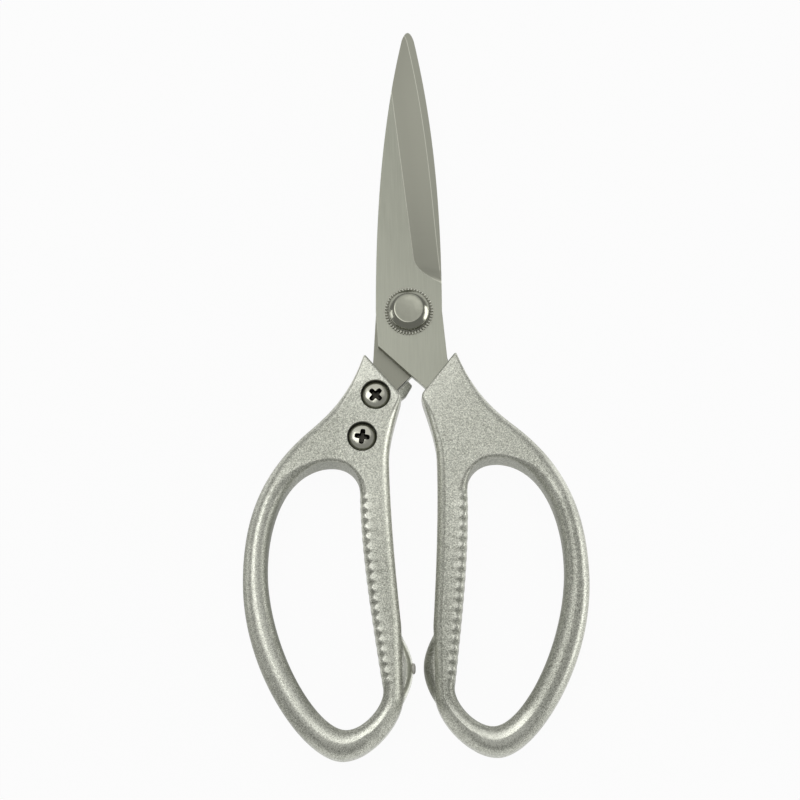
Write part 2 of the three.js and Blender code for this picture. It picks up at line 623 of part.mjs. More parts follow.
function nutGeometry() {
  const corner = NUT_ACROSS_FLATS / Math.sqrt(3);
  const corners = Array.from({ length: 6 }, (_, i) => at(corner, 0).rotateAround(at(0, 0), (i * Math.PI) / 3));
  const shape = new THREE.Shape(corners);
  shape.holes.push(circle(PIVOT_DIAMETER / 2 + FIT_GAP));
  return slab(shape, nutBottom, nutTop, PIVOT_SIDES / 2);
}

const finish = (color, roughness, metalness) => new THREE.MeshStandardMaterial({ color, roughness, metalness });
const groundSteel = finish(0xa3a297, 0.35, 1);
const castSilver = finish(0xb9b9b0, 0.45, 0.9);
const darkNickel = finish(0x6f6c66, 0.3, 1);
const polishedSteel = finish(0xc6c4bb, 0.12, 1);
const paleRubber = finish(0xd8d6cc, 0.6, 0);

function piece(name, geometry, material) {
  const mesh = new THREE.Mesh(geometry, material);
  mesh.name = name;
  return mesh;
}

// One blade in its handle, with the two screws that hold it
function half(bladeName, leanDegrees, side, handle, crossTurns) {
  const group = new THREE.Group();
  group.add(piece(bladeName, toGeometry(bladeSolid(leanDegrees)), groundSteel));
  group.add(piece(`${side}_handle`, toGeometry(handle), castSilver));
  const places = { upper: upperScrew, lower: lowerScrew };
  for (const [place, spot] of Object.entries(places)) {
    const screw = piece(`${side}_${place}_screw`, screwGeometry(), darkNickel);
    screw.position.set(spot.x, spot.y, screwSeat);
    screw.rotation.z = radians(crossTurns[place]);
    group.add(screw);
  }
  return group;
}

const frontHalf = half('front_blade', BLADE_LEAN_DEG, 'right', handleSolid([]), { upper: 20, lower: 60 });
frontHalf.add(piece('pivot_bolt', boltGeometry(), polishedSteel));
frontHalf.add(piece('toothed_washer', toothedWasherGeometry(), polishedSteel));
frontHalf.add(piece('spring_washer', springWasherGeometry(), groundSteel));
frontHalf.add(piece('lock_nut', nutGeometry(), darkNickel));

const leftHandle = withBumperSeat(handleSolid([lipSolid()]));
const rearHalf = half('rear_blade', -BLADE_LEAN_DEG, 'left', leftHandle, { upper: 45, lower: 0 });
const bumper = piece('stop_bumper', bumperGeometry(), paleRubber);
bumper.position.set(TAB_TIP_X + BUMPER_LENGTH - BUMPER_PROUD, -tabDrop, 0);
rearHalf.add(bumper);
rearHalf.rotation.y = Math.PI;

const scissors = new THREE.Group();
scissors.add(frontHalf, rearHalf);
scissors.position.set(0, (HEEL_REACH - TIP_REACH) / 2, halfThickness);

export default scissors;
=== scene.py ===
"""Scissors with cast metal handles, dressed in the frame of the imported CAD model.

Every piece is drawn in millimetres from the pivot, for the front half: its blade lies in front and its
handle goes right. The rear half is the same half turned over about Y. A finished piece is then moved
to the pivot's place in the frame, in metres.
"""

import json
import logging
import math
from contextlib import contextmanager
from dataclasses import dataclass
from enum import Enum
from typing import Callable, Iterator, Sequence, Union

import bmesh
import bpy
from mathutils import Matrix, Vector
from mathutils.kdtree import KDTree


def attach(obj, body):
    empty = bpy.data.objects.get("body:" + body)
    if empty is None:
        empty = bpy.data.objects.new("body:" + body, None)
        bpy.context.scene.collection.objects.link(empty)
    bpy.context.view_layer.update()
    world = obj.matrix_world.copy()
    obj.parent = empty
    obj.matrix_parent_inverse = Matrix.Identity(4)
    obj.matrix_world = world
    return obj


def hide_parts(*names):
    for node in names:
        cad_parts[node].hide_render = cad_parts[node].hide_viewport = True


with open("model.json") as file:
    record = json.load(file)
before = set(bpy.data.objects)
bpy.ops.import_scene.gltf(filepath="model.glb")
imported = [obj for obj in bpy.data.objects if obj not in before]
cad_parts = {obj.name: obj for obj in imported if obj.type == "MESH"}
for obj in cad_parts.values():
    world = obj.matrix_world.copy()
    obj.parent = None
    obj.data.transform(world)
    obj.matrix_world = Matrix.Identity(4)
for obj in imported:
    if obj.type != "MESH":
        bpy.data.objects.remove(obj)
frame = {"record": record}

LOG = logging.getLogger("scissors")
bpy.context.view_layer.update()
MILLIMETRE = 0.001
# Name of the point attribute that carries the painted highlights and painted shade on the handles
SHADING_ATTRIBUTE = "wear"
WHITE = (1, 1, 1, 1)

# Middle of a value between 0 and 1, how far a cutter stands out of what it cuts, and the millimetres
# within which points fall together, lie on the axis or lie at one level
MIDDLE = 0.5
OVERCUT = 1.0
TOGETHER = 0.02
SAME_POINT = 1e-4
ON_AXIS = 1e-6
SAME_LEVEL = 0.01

Colour = tuple[float, float, float]
Place = tuple[float, float, float]
Flat = tuple[float, float]
Span = tuple[float, float]
Profile = tuple[Flat, ...]
Section = tuple[tuple[float, float, float, float], ...]
Mesh = bpy.types.Object


def smoothstep(value: float, low: float, high: float) -> float:
    """Eases a value from 0 at low to 1 at high, where low may also be the larger."""
    share = min(1.0, max(0.0, (value - low) / (high - low)))
    return share * share * (3 - 2 * share)


def blend(start: float, end: float, share: float) -> float:
    """Gives the value that lies a share of the way from start to end."""
    return start + (end - start) * share


def polar(radius: float, degrees: float) -> Vector:
    """Gives a flat vector from its length and its angle."""
    return Vector((radius * math.cos(math.radians(degrees)), radius * math.sin(math.radians(degrees))))


class Pen:
    """Draws a flat outline stroke by stroke and keeps points along it at an even spacing."""

    STRAIGHT_SPACING = 3
    ROUGH_STEPS = 24
    FEWEST_STEPS = 4

    def __init__(self, start: Flat, spacing: float) -> None:
        """Puts the pen down.

        Args:
            start: Where the outline begins.
            spacing: Distance between neighbouring points on a curve.
        """
        self.points = [Vector(start)]
        self.spacing = spacing

    def line(self, end: Flat) -> "Pen":
        """Draws a straight stroke.

        Args:
            end: Where the stroke ends.

        Returns:
            The pen, for the next stroke.
        """
        first = self.points[-1].copy()
        spacing = self.STRAIGHT_SPACING * self.spacing
        steps = max(1, math.ceil((Vector(end) - first).length / spacing))
        self.points += [first.lerp(Vector(end), step / steps) for step in range(1, steps + 1)]
        return self

    def curve(self, first: Flat, second: Flat, end: Flat) -> "Pen":
        """Draws a cubic curve.

        Args:
            first: Control point that the curve leaves towards.
            second: Control point that the curve arrives from.
            end: Where the curve ends.

        Returns:
            The pen, for the next stroke.
        """
        corners = [self.points[-1].copy(), Vector(first), Vector(second), Vector(end)]

        def place(share: float) -> Vector:
            """Gives the curve's point at a share of its run.

            Args:
                share: From 0 at the beginning to 1 at the end.

            Returns:
                The point.
            """
            rest = 1 - share
            weights = (rest**3, 3 * rest**2 * share, 3 * rest * share**2, share**3)
            return sum((corner * weight for corner, weight in zip(corners, weights)), Vector((0, 0)))

        rough = [place(step / self.ROUGH_STEPS) for step in range(self.ROUGH_STEPS + 1)]
        length = sum((b - a).length for a, b in zip(rough, rough[1:]))
        steps = max(self.FEWEST_STEPS, math.ceil(length / self.spacing))
        self.points += [place(step / steps) for step in range(1, steps + 1)]
        return self

    def arc(self, centre: Flat, radius: float, start: float, end: float) -> "Pen":
        """Draws part of a circle.

        Args:
            centre: Middle of the circle.
            radius: Its radius.
            start: Angle at the beginning, in degrees.
            end: Angle at the end, in degrees.

        Returns:
            The pen, for the next stroke.
        """
        length = abs(math.radians(end - start)) * radius
        steps = max(self.FEWEST_STEPS, math.ceil(length / self.spacing))
        turns = [blend(start, end, step / steps) for step in range(steps + 1)]
        self.points += [Vector(centre) + polar(radius, turn) for turn in turns]
        return self

    def outline(self) -> list[Vector]:
        """Gives the closed outline without points that fall together."""
        return [p for i, p in enumerate(self.points) if (p - self.points[i - 1]).length > TOGETHER]


def inward_normals(points: Sequence[Vector], sharpest: float = 0.3) -> list[Vector]:
    """Gives left-hand normals of a closed outline, long enough to keep every edge parallel.

    Args:
        points: The outline, with its metal on the left.
        sharpest: Keeps the normals at sharp corners from growing too long.

    Returns:
        One normal for each point.
    """
    def edge(start: Vector, end: Vector) -> Vector:
        """Gives the left-hand normal of one edge."""
        return Vector((start.y - end.y, end.x - start.x)).normalized()

    normals = []
    for i, point in enumerate(points):
        before, after = edge(points[i - 1], point), edge(point, points[(i + 1) % len(points)])
        normals.append((before + after) / max(sharpest, 1 + before.dot(after)))
    return normals


def raised(points: Sequence[Vector], height: float) -> list[Vector]:
    """Lifts a flat outline to a height."""
    return [Vector((point.x, point.y, height)) for point in points]


class Bench:
    """Modelling with Blender's operators, one object at a time."""

    FLATNESS = 80

    @staticmethod
    def take(*objects: Mesh) -> None:
        """Selects only these objects and makes the first of them active.

        Args:
            objects: The objects.
        """
        bpy.ops.object.select_all(action="DESELECT")
        for obj in objects:
            obj.select_set(True)
        bpy.context.view_layer.objects.active = objects[0]

    @staticmethod
    @contextmanager
    def editing(obj: Mesh) -> Iterator[None]:
        """Opens an object in edit mode with all of it selected.

        Args:
            obj: The object.

        Returns:
            A context, at whose end the object is closed again.
        """
        Bench.take(obj)
        bpy.ops.object.mode_set(mode="EDIT")
        bpy.ops.mesh.select_mode(type="EDGE")
        bpy.ops.mesh.select_all(action="SELECT")
        yield
        bpy.ops.object.mode_set(mode="OBJECT")

    @staticmethod
    def select_edges(obj: Mesh, wanted: Callable[[bmesh.types.BMEdge], bool]) -> None:
        """Selects some edges of the object in edit mode.

        Args:
            obj: The object.
            wanted: Tells whether an edge is selected.
        """
        bpy.ops.mesh.select_all(action="DESELECT")
        body = bmesh.from_edit_mesh(obj.data)
        for edge in body.edges:
            if wanted(edge):
                edge.select_set(True)
        bmesh.update_edit_mesh(obj.data)

    @staticmethod
    def ring(name: str, points: Sequence[Vector]) -> Mesh:
        """Adds a circle and pulls its corners onto the points of an outline.

        Args:
            name: Name of the new object.
            points: Corners of the ring, in order.

        Returns:
            The new object, a closed loop of edges.
        """
        bpy.ops.object.select_all(action="DESELECT")
        bpy.ops.mesh.primitive_circle_add(vertices=len(points), radius=1, fill_type="NOTHING")
        obj = bpy.context.active_object
        obj.name = obj.data.name = name
        for vertex, point in zip(obj.data.vertices, points):
            vertex.co = point
        return obj

    @staticmethod
    def loft(name: str, rings: Sequence[Sequence[Vector]], capped: bool = True) -> Mesh:
        """Draws a wall up from ring to ring by extruding its last loop of edges.

        Args:
            name: Name of the new object.
            rings: Loops with the same number of points, from the first to the last.
            capped: Whether the two ends are filled.

        Returns:
            The new object.
        """
        obj = Bench.ring(name, rings[0])
        count = len(rings[0])
        with Bench.editing(obj):
            for ring in rings[1:]:
                bpy.ops.mesh.extrude_edges_indiv()
                moved = [v for v in bmesh.from_edit_mesh(obj.data).verts if v.select]
                assert len(moved) == count
                for vertex, point in zip(moved, ring):
                    vertex.co = point
                bmesh.update_edit_mesh(obj.data)
            if capped:
                Bench.fill_open_edges(obj)
        return obj

    @staticmethod
    def fill_open_edges(obj: Mesh) -> None:
        """Closes the open loops of the object in edit mode.

        Where they lie at two heights, the loops at each height are filled together, so that an opening
        stays open. Otherwise each loop gets one face.

        Args:
            obj: The object.
        """
        body = bmesh.from_edit_mesh(obj.data)
        levels = {round(v.co.z, 3) for e in body.edges if e.is_boundary for v in e.verts}
        if len(levels) == 2:
            for level in sorted(levels):
                Bench.select_edges(obj, lambda e: e.is_boundary and all(
                    abs(v.co.z - level) < SAME_LEVEL for v in e.verts))
                bpy.ops.mesh.fill(use_beauty=True)
        else:
            Bench.select_edges(obj, lambda e: e.is_boundary)
            bpy.ops.mesh.edge_face_add()
        Bench.face_outwards()

    @staticmethod
    def face_outwards() -> None:
        """Merges doubles and turns all faces of the object in edit mode outwards."""
        bpy.ops.mesh.select_all(action="SELECT")
        bpy.ops.mesh.remove_doubles(threshold=SAME_POINT)
        bpy.ops.mesh.normals_make_consistent(inside=False)

    @staticmethod
    def turn(name: str, profile: Sequence[Flat], sides: int) -> Mesh:
        """Spins a profile of radius and height about Z into a closed solid.

        Args:
            name: Name of the new object.
            profile: Points from one end to the other, both on the axis or joined into a loop.
            sides: Number of steps around.

        Returns:
            The new object.
        """
        obj = Bench.ring(name, [Vector((radius, 0, height)) for radius, height in profile])
        last = len(profile) - 1
        with Bench.editing(obj):
            if profile[0][0] < ON_AXIS and profile[-1][0] < ON_AXIS:
                Bench.select_edges(obj, lambda e: {v.index for v in e.verts} == {0, last})
                bpy.ops.mesh.delete(type="EDGE_FACE")
                bpy.ops.mesh.select_all(action="SELECT")
            bpy.ops.mesh.spin(steps=sides, angle=2 * math.pi, center=(0, 0, 0), axis=(0, 0, 1))
            Bench.face_outwards()
        return obj

    @staticmethod
    def rod(centre: Flat, radius: float, low: float, high: float, sides: int = 64) -> Mesh:
        """Adds an upright cylinder between two heights.

        Args:
            centre: Place of its axis.
            radius: Its radius.
            low: Level of its lower end.
            high: Level of its upper end.
            sides: Number of steps around.

        Returns:
            The new object.
        """
        bpy.ops.object.select_all(action="DESELECT")
        bpy.ops.mesh.primitive_cylinder_add(vertices=sides, radius=radius, depth=high - low,
                                            location=(centre[0], centre[1], (low + high) / 2))
        obj = bpy.context.active_object
        bpy.ops.object.transform_apply(location=True, rotation=True, scale=True)
        return obj

    @staticmethod
    def modify(obj: Mesh, kind: str, **settings: object) -> None:
        """Adds a modifier, sets it and applies it.

        Args:
            obj: The object that is changed.
            kind: The modifier's type.
            settings: Values of its properties.
        """
        Bench.take(obj)
        modifier = obj.modifiers.new(kind.lower(), kind)
        for name, value in settings.items():
            setattr(modifier, name, value)
        bpy.ops.object.modifier_apply(modifier=modifier.name)

    @staticmethod
    def combine(obj: Mesh, tool: Mesh, operation: str) -> None:
        """Joins, cuts or intersects an object with a tool, which is used up."""
        Bench.modify(obj, "BOOLEAN", object=tool, operation=operation, solver="MANIFOLD")
        bpy.data.meshes.remove(tool.data)

    @staticmethod
    def cut(obj: Mesh, *tools: Mesh) -> None:
        """Takes the shapes of the tools out of an object."""
        for tool in tools:
            Bench.combine(obj, tool, "DIFFERENCE")

    @staticmethod
    def copy(obj: Mesh, name: str) -> Mesh:
        """Copies an object together with its mesh.

        Args:
            obj: The object.
            name: Name of the copy.

        Returns:
            The copy.
        """
        twin = obj.copy()
        twin.data = obj.data.copy()
        twin.name = twin.data.name = name
        bpy.context.collection.objects.link(twin)
        return twin

    @staticmethod
    def settle(obj: Mesh, place: Matrix) -> None:
        """Moves an object and applies its place, so that it sits unturned and unscaled.

        Args:
            obj: The object.
            place: The move.
        """
        Bench.take(obj)
        obj.matrix_world = place
        bpy.ops.object.transform_apply(location=True, rotation=True, scale=True)

    @staticmethod
    def paint(obj: Mesh, *materials: bpy.types.Material) -> None:
        """Gives an object these materials and no others.

        Args:
            obj: The object.
            materials: The materials, in the order of their slots.
        """
        obj.data.materials.clear()
        for material in materials:
            obj.data.materials.append(material)

    @staticmethod
    def shade(obj: Mesh, crease: float) -> None:
        """Shades an object smooth, with its large faces kept flat.

        Args:
            obj: The object.
            crease: Angle in degrees from which an edge stays sharp.
        """
        Bench.take(obj)
        bpy.ops.object.shade_smooth_by_angle(angle=math.radians(crease))
        Bench.modify(obj, "WEIGHTED_NORMAL", keep_sharp=True, weight=Bench.FLATNESS)

    @staticmethod
    def dress(obj: Mesh, crease: float, *finishes: "Finishes") -> None:
        """Shades an object smooth up to an angle and gives it its finishes."""
        Bench.shade(obj, crease)
        Bench.paint(obj, *(finish.value.material() for finish in finishes))


Operand = Union["Wire", float]
Key = Union[int, str]


class Wire:
    """A shader socket that takes part in Python sums: each sum adds its Math node."""

    def __init__(self, recipe: "Recipe", socket: bpy.types.NodeSocket) -> None:
        """Wraps an output socket of a recipe's node."""
        self.recipe = recipe
        self.socket = socket

    def math(self, operation: str, first: Operand, second: Operand) -> "Wire":
        """Adds a Math node and gives its result."""
        return self.recipe.node("ShaderNodeMath", {"operation": operation}, {0: first, 1: second})

    def __add__(self, other: Operand) -> "Wire":
        """Adds."""
        return self.math("ADD", self, other)

    def __radd__(self, other: float) -> "Wire":
        """Adds to a number."""
        return self.math("ADD", other, self)

    def __sub__(self, other: Operand) -> "Wire":
        """Takes away."""
        return self.math("SUBTRACT", self, other)

    def __rsub__(self, other: float) -> "Wire":
        """Takes away from a number."""
        return self.math("SUBTRACT", other, self)

    def __mul__(self, other: Operand) -> "Wire":
        """Multiplies."""
        return self.math("MULTIPLY", self, other)

    def __rmul__(self, other: float) -> "Wire":
        """Multiplies a number."""
        return self.math("MULTIPLY", other, self)

    def at_most(self, limit: Operand) -> "Wire":
        """Gives the smaller of the value and a limit."""
        return self.math("MINIMUM", self, limit)


class Recipe:
    """The node tree of one material while it is written."""

    MIX_SHARE, MIX_LOW, MIX_HIGH, MIX_COLOUR = 0, 6, 7, 2

    def __init__(self, name: str) -> None:
        """Starts a material that has only its output.

        Args:
            name: Name of the material.
        """
        self.material = bpy.data.materials.new(name)
        self.material.use_nodes = True
        self.tree = self.material.node_tree
        self.tree.nodes.remove(self.tree.nodes["Principled BSDF"])

    def node(self, kind: str, settings: dict[str, object], inputs: dict[Key, object],
             output: Key = 0) -> Wire:
        """Adds a node.

        Args:
            kind: Type of the node.
            settings: Its properties, which are set first.
            inputs: Values or wires of its sockets.
            output: The output that is wanted.

        Returns:
            That output's wire.
        """
        node = self.tree.nodes.new(kind)
        for name, value in settings.items():
            setattr(node, name, value)
        for key, value in inputs.items():
            if isinstance(value, Wire):
                self.tree.links.new(value.socket, node.inputs[key])
            else:
                node.inputs[key].default_value = value
        return Wire(self, node.outputs[output])

    def place(self, stretch: Colour = (1, 1, 1)) -> Wire:
        """Gives object coordinates, in metres, stretched along each axis."""
        here = self.node("ShaderNodeTexCoord", {}, {}, "Object")
        return self.node("ShaderNodeMapping", {}, {"Vector": here, "Scale": stretch})

    def noise(self, scale: float, detail: float, vector: Wire, roughness: float = 0.5) -> Wire:
        """Gives a noise value between 0 and 1."""
        values = {"Vector": vector, "Scale": scale, "Detail": detail, "Roughness": roughness}
        return self.node("ShaderNodeTexNoise", {}, values)

    def tint(self, low: Colour, high: Colour, share: Wire) -> Wire:
        """Mixes two colours by a value."""
        values = {self.MIX_SHARE: share, self.MIX_LOW: (*low, 1), self.MIX_HIGH: (*high, 1)}
        return self.node("ShaderNodeMix", {"data_type": "RGBA"}, values, self.MIX_COLOUR)

    def bump(self, height: Wire, strength: float, distance: float) -> Wire:
        """Gives normals from a height, with a depth in metres."""
        return self.node("ShaderNodeBump", {}, {"Height": height, "Strength": strength, "Distance": distance})

    def surface(self, **inputs: object) -> bpy.types.Material:
        """Ends the recipe with the surface shader.

        Args:
            inputs: Sockets of the shader, with underscores for spaces.

        Returns:
            The finished material.
        """
        named = {name.replace("_", " "): value for name, value in inputs.items()}
        return self.end(self.node("ShaderNodeBsdfPrincipled", {}, named))

    def end(self, shader: Wire) -> bpy.types.Material:
        """Links a shader to the material's output and gives the finished material."""
        self.tree.links.new(shader.socket, self.tree.nodes["Material Output"].inputs["Surface"])
        return self.material


@dataclass(frozen=True)
class BrushedSteel:
    """Satin steel with fine scratches in one direction."""

    name: str
    dark: Colour
    light: Colour
    roughness: float = 0.34
    grain: Colour = (3600.0, 110.0, 3600.0)
    grain_share: float = 0.65
    cloud_scale: float = 60.0
    gloss_change: float = 0.1
    bump_strength: float = 0.35
    grain_depth: float = 0.000012

    def material(self) -> bpy.types.Material:
        """Writes the material.

        Returns:
            The material, with grain in its colour, roughness and normals.
        """
        recipe = Recipe(self.name)
        grain = recipe.noise(1, 3, recipe.place(self.grain))
        cloud = recipe.noise(self.cloud_scale, 2, recipe.place())
        shade = self.grain_share * grain + (1 - self.grain_share) * cloud
        rough = self.roughness + self.gloss_change * (grain - MIDDLE)
        normal = recipe.bump(grain, self.bump_strength, self.grain_depth)
        return recipe.surface(Base_Color=recipe.tint(self.dark, self.light, shade), Metallic=1.0,
                              Roughness=rough, Normal=normal)


@dataclass(frozen=True)
class SparkleCasting:
    """Cast metal with a blasted skin whose fine grains sparkle."""

    name: str
    dark: Colour
    light: Colour
    roughness: float = 0.4
    metallic: float = 0.72
    grain: float = 9000.0
    grain_crispness: float = 0.6
    flake_scale: float = 0.6
    mean_shade: float = 0.47
    grain_contrast: float = 1.1
    flake_contrast: float = 0.8
    gloss_change: float = 0.14
    shading_gloss: float = 0.3
    flake_relief: float = 0.4
    bump_strength: float = 0.5
    grain_depth: float = 0.000012

    def material(self) -> bpy.types.Material:
        """Writes the material.

        Returns:
            The material, with grain and sparkle in its colour, roughness and normals, and painted highlights
            and painted shade in its colour.
        """
        recipe = Recipe(self.name)
        here = recipe.place()
        grain = recipe.noise(self.grain, 2, here, self.grain_crispness)
        cells = {"Vector": here, "Scale": self.flake_scale * self.grain}
        flakes = recipe.node("ShaderNodeTexVoronoi", {}, cells, "Color")
        flake = recipe.node("ShaderNodeSeparateColor", {}, {"Color": flakes}, "Red")
        # Painted light and shade: the handle's point attribute lightens the colour where highlights are
        # painted, darkens it where shade is painted, and makes the painted highlights glossier
        wear = recipe.node("ShaderNodeAttribute", {"attribute_name": SHADING_ATTRIBUTE}, {}, "Fac")
        sparkle = self.grain_contrast * (grain - MIDDLE) + self.flake_contrast * (flake - MIDDLE)
        shade = self.mean_shade + sparkle + wear
        rough = self.roughness + self.gloss_change * (grain - MIDDLE) - self.shading_gloss * wear
        relief = grain + self.flake_relief * flake
        normal = recipe.bump(relief, self.bump_strength, self.grain_depth)
        return recipe.surface(Base_Color=recipe.tint(self.dark, self.light, shade), Metallic=self.metallic,
                              Roughness=rough, Normal=normal)


@dataclass(frozen=True)
class PlatedMetal:
    """Bright plated metal with faint handling marks."""

    name: str
    dark: Colour
    light: Colour
    roughness: float
    metallic: float = 1.0
    marks_scale: float = 700.0
    gloss_change: float = 0.12
    bump_strength: float = 0.1
    marks_depth: float = 0.00002

    def material(self) -> bpy.types.Material:
        """Writes the material.

        Returns:
            The material, with soft marks in its colour, roughness and normals.
        """
        recipe = Recipe(self.name)
        marks = recipe.noise(self.marks_scale, 4, recipe.place())
        rough = self.roughness + self.gloss_change * (marks - MIDDLE)
        normal = recipe.bump(marks, self.bump_strength, self.marks_depth)
        return recipe.surface(Base_Color=recipe.tint(self.dark, self.light, marks), Metallic=self.metallic,
                              Roughness=rough, Normal=normal)


@dataclass(frozen=True)
class PaleRubber:
    """Pale matte rubber."""

    name: str
    dark: Colour
    light: Colour
    roughness: float = 0.6
    mottle_scale: float = 1500.0
    gloss_change: float = 0.15
    bump_strength: float = 0.2
    mottle_depth: float = 0.00003

    def material(self) -> bpy.types.Material:
        """Writes the material.

        Returns:
            The material, with a soft mottle in its colour, roughness and normals.
        """
        recipe = Recipe(self.name)
        mottle = recipe.noise(self.mottle_scale, 3, recipe.place())
        rough = self.roughness + self.gloss_change * (mottle - MIDDLE)
        normal = recipe.bump(mottle, self.bump_strength, self.mottle_depth)
        return recipe.surface(Base_Color=recipe.tint(self.dark, self.light, mottle), Roughness=rough,
                              Normal=normal)


CROSSWISE: Colour = (150.0, 4200.0, 150.0)


class Finishes(Enum):
    """The finishes of this pair of scissors."""

    BLADE = BrushedSteel("satin_blade_steel", (0.295, 0.303, 0.249), (0.445, 0.453, 0.382))
    # Painted highlight: pale steel for the thin strips along the grind line and the bevel line
    GLINT = BrushedSteel("painted_highlight_line_steel", (0.78, 0.785, 0.67), (0.88, 0.885, 0.76))
    HOLLOW = BrushedSteel("ground_blade_steel", (0.52, 0.524, 0.436), (0.56, 0.564, 0.469), 0.34, CROSSWISE)
    BEVEL = BrushedSteel("edge_bevel_steel", (0.50, 0.506, 0.419), (0.55, 0.556, 0.463), 0.32, CROSSWISE)
    INNER = BrushedSteel("inner_face_steel", (0.24, 0.242, 0.20), (0.29, 0.292, 0.242), 0.36)
    CASTING = SparkleCasting("sparkle_cast_metal", (0.24, 0.247, 0.203), (0.96, 0.972, 0.86))
    PIVOT = PlatedMetal("polished_pivot_steel", (0.32, 0.324, 0.268), (0.38, 0.384, 0.32), 0.17)
    # Painted light on the toothed washer: its teeth painted pale as highlights, the gaps between them painted
    # darker as shade
    TOOTH = PlatedMetal("painted_highlight_tooth_steel", (0.84, 0.845, 0.74), (0.93, 0.935, 0.82), 0.26, 0.35)
    GULLET = PlatedMetal("painted_shade_gullet_steel", (0.5, 0.5, 0.43), (0.56, 0.56, 0.48), 0.4, 0.3)
    SCREW = PlatedMetal("dark_nickel_screws", (0.55, 0.55, 0.468), (0.65, 0.65, 0.558), 0.2)
    # Painted shade: near black for the inside of the screws' cross recess
    RECESS = PlatedMetal("painted_shade_recess", (0.03, 0.029, 0.024), (0.08, 0.077, 0.064), 0.5)
    SPRING = PlatedMetal("spring_washer_steel", (0.38, 0.38, 0.35), (0.46, 0.46, 0.42), 0.32)
    RUBBER = PaleRubber("pale_bumper_rubber", (0.62, 0.61, 0.55), (0.72, 0.71, 0.65))


class Half(Enum):
    """The two halves, each a body of the mechanism."""

    FRONT = "front_half"
    REAR = "rear_half"

    @property
    def side(self) -> str:
        """The side that the half's handle is on."""
        return "right" if self is Half.FRONT else "left"

    @property
    def blade(self) -> str:
        """The node of the half's blade."""
        return f"{self.name.lower()}_blade"

    def place(self) -> Matrix:
        """Gives the move from a piece's drawing to its place in the frame.

        Returns:
            The move, which also turns the rear half over.
        """
        pivot = Vector(frame["record"]["behaviour"]["joints"][0]["pos_m"])
        turned = Matrix.Rotation(math.pi, 4, "Y") if self is Half.REAR else Matrix.Identity(4)
        return Matrix.Translation(pivot) @ Matrix.Scale(MILLIMETRE, 4) @ turned


def hand_over(obj: Mesh, half: Half, node: str) -> None:
    """Puts a finished piece in its place, hangs it under the body that carries it and hides the CAD node that
    it stands for.

    Args:
        obj: The piece, drawn in millimetres from the pivot.
        half: The half that carries it.
        node: The CAD node that it replaces.
    """
    Bench.settle(obj, half.place())
    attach(obj, half.value)
    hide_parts(node)
    LOG.info("%s rides on %s, %d faces", obj.name, half.value, len(obj.data.polygons))


@dataclass
class Layout:
    """Sizes that several pieces share."""

    blade_thickness: float = 2.5
    blade_gap: float = 0.2
    pocket_wall: float = 3.2
    heel_reach: float = 123.0
    tip_reach: float = 81.5
    neck_lean: float = 18.8
    upper_screw: Flat = (9.7, -23.9)
    screw_pitch: float = 12.2
    screw_radius: float = 2.0
    screw_clearance: float = 0.2
    head_radius: float = 3.85
    head_height: float = 2.4
    head_sunk: float = 0.2
    pivot_radius: float = 3.0
    fit_gap: float = 0.1

    @property
    def blade_bottom(self) -> float:
        """Level of a blade's inner face."""
        return self.blade_gap / 2

    @property
    def blade_top(self) -> float:
        """Level of a blade's outer face."""
        return self.blade_bottom + self.blade_thickness

    @property
    def half_thickness(self) -> float:
        """Level of a handle's face."""
        return self.blade_top + self.pocket_wall

    @property
    def screw_seat(self) -> float:
        """Level that a screw's head sits on."""
        return self.head_height + self.head_sunk - self.half_thickness

    @property
    def screw_hole(self) -> float:
        """Radius of the hole that a screw's shank goes through."""
        return self.screw_radius + self.screw_clearance

    @property
    def pivot_hole(self) -> float:
        """Radius of the hole that the pivot's shank goes through."""
        return self.pivot_radius + self.fit_gap

    @property
    def neck_down(self) -> Vector:
        """Direction down the neck, along its two screws."""
        return polar(1, self.neck_lean - 90)

    @property
    def neck_across(self) -> Vector:
        """Direction across the neck."""
        return polar(1, self.neck_lean)

    @property
    def screws(self) -> list[Vector]:
        """Places of the upper and the lower screw."""
        upper = Vector(self.upper_screw)
        return [upper, upper + self.neck_down * self.screw_pitch]


@dataclass(frozen=True)
class Grind:
    """The grinding's lines across a blade, at one distance up it, and the share of its full depth."""

    line: float
    bevel: float
    edge: float
    deep: float


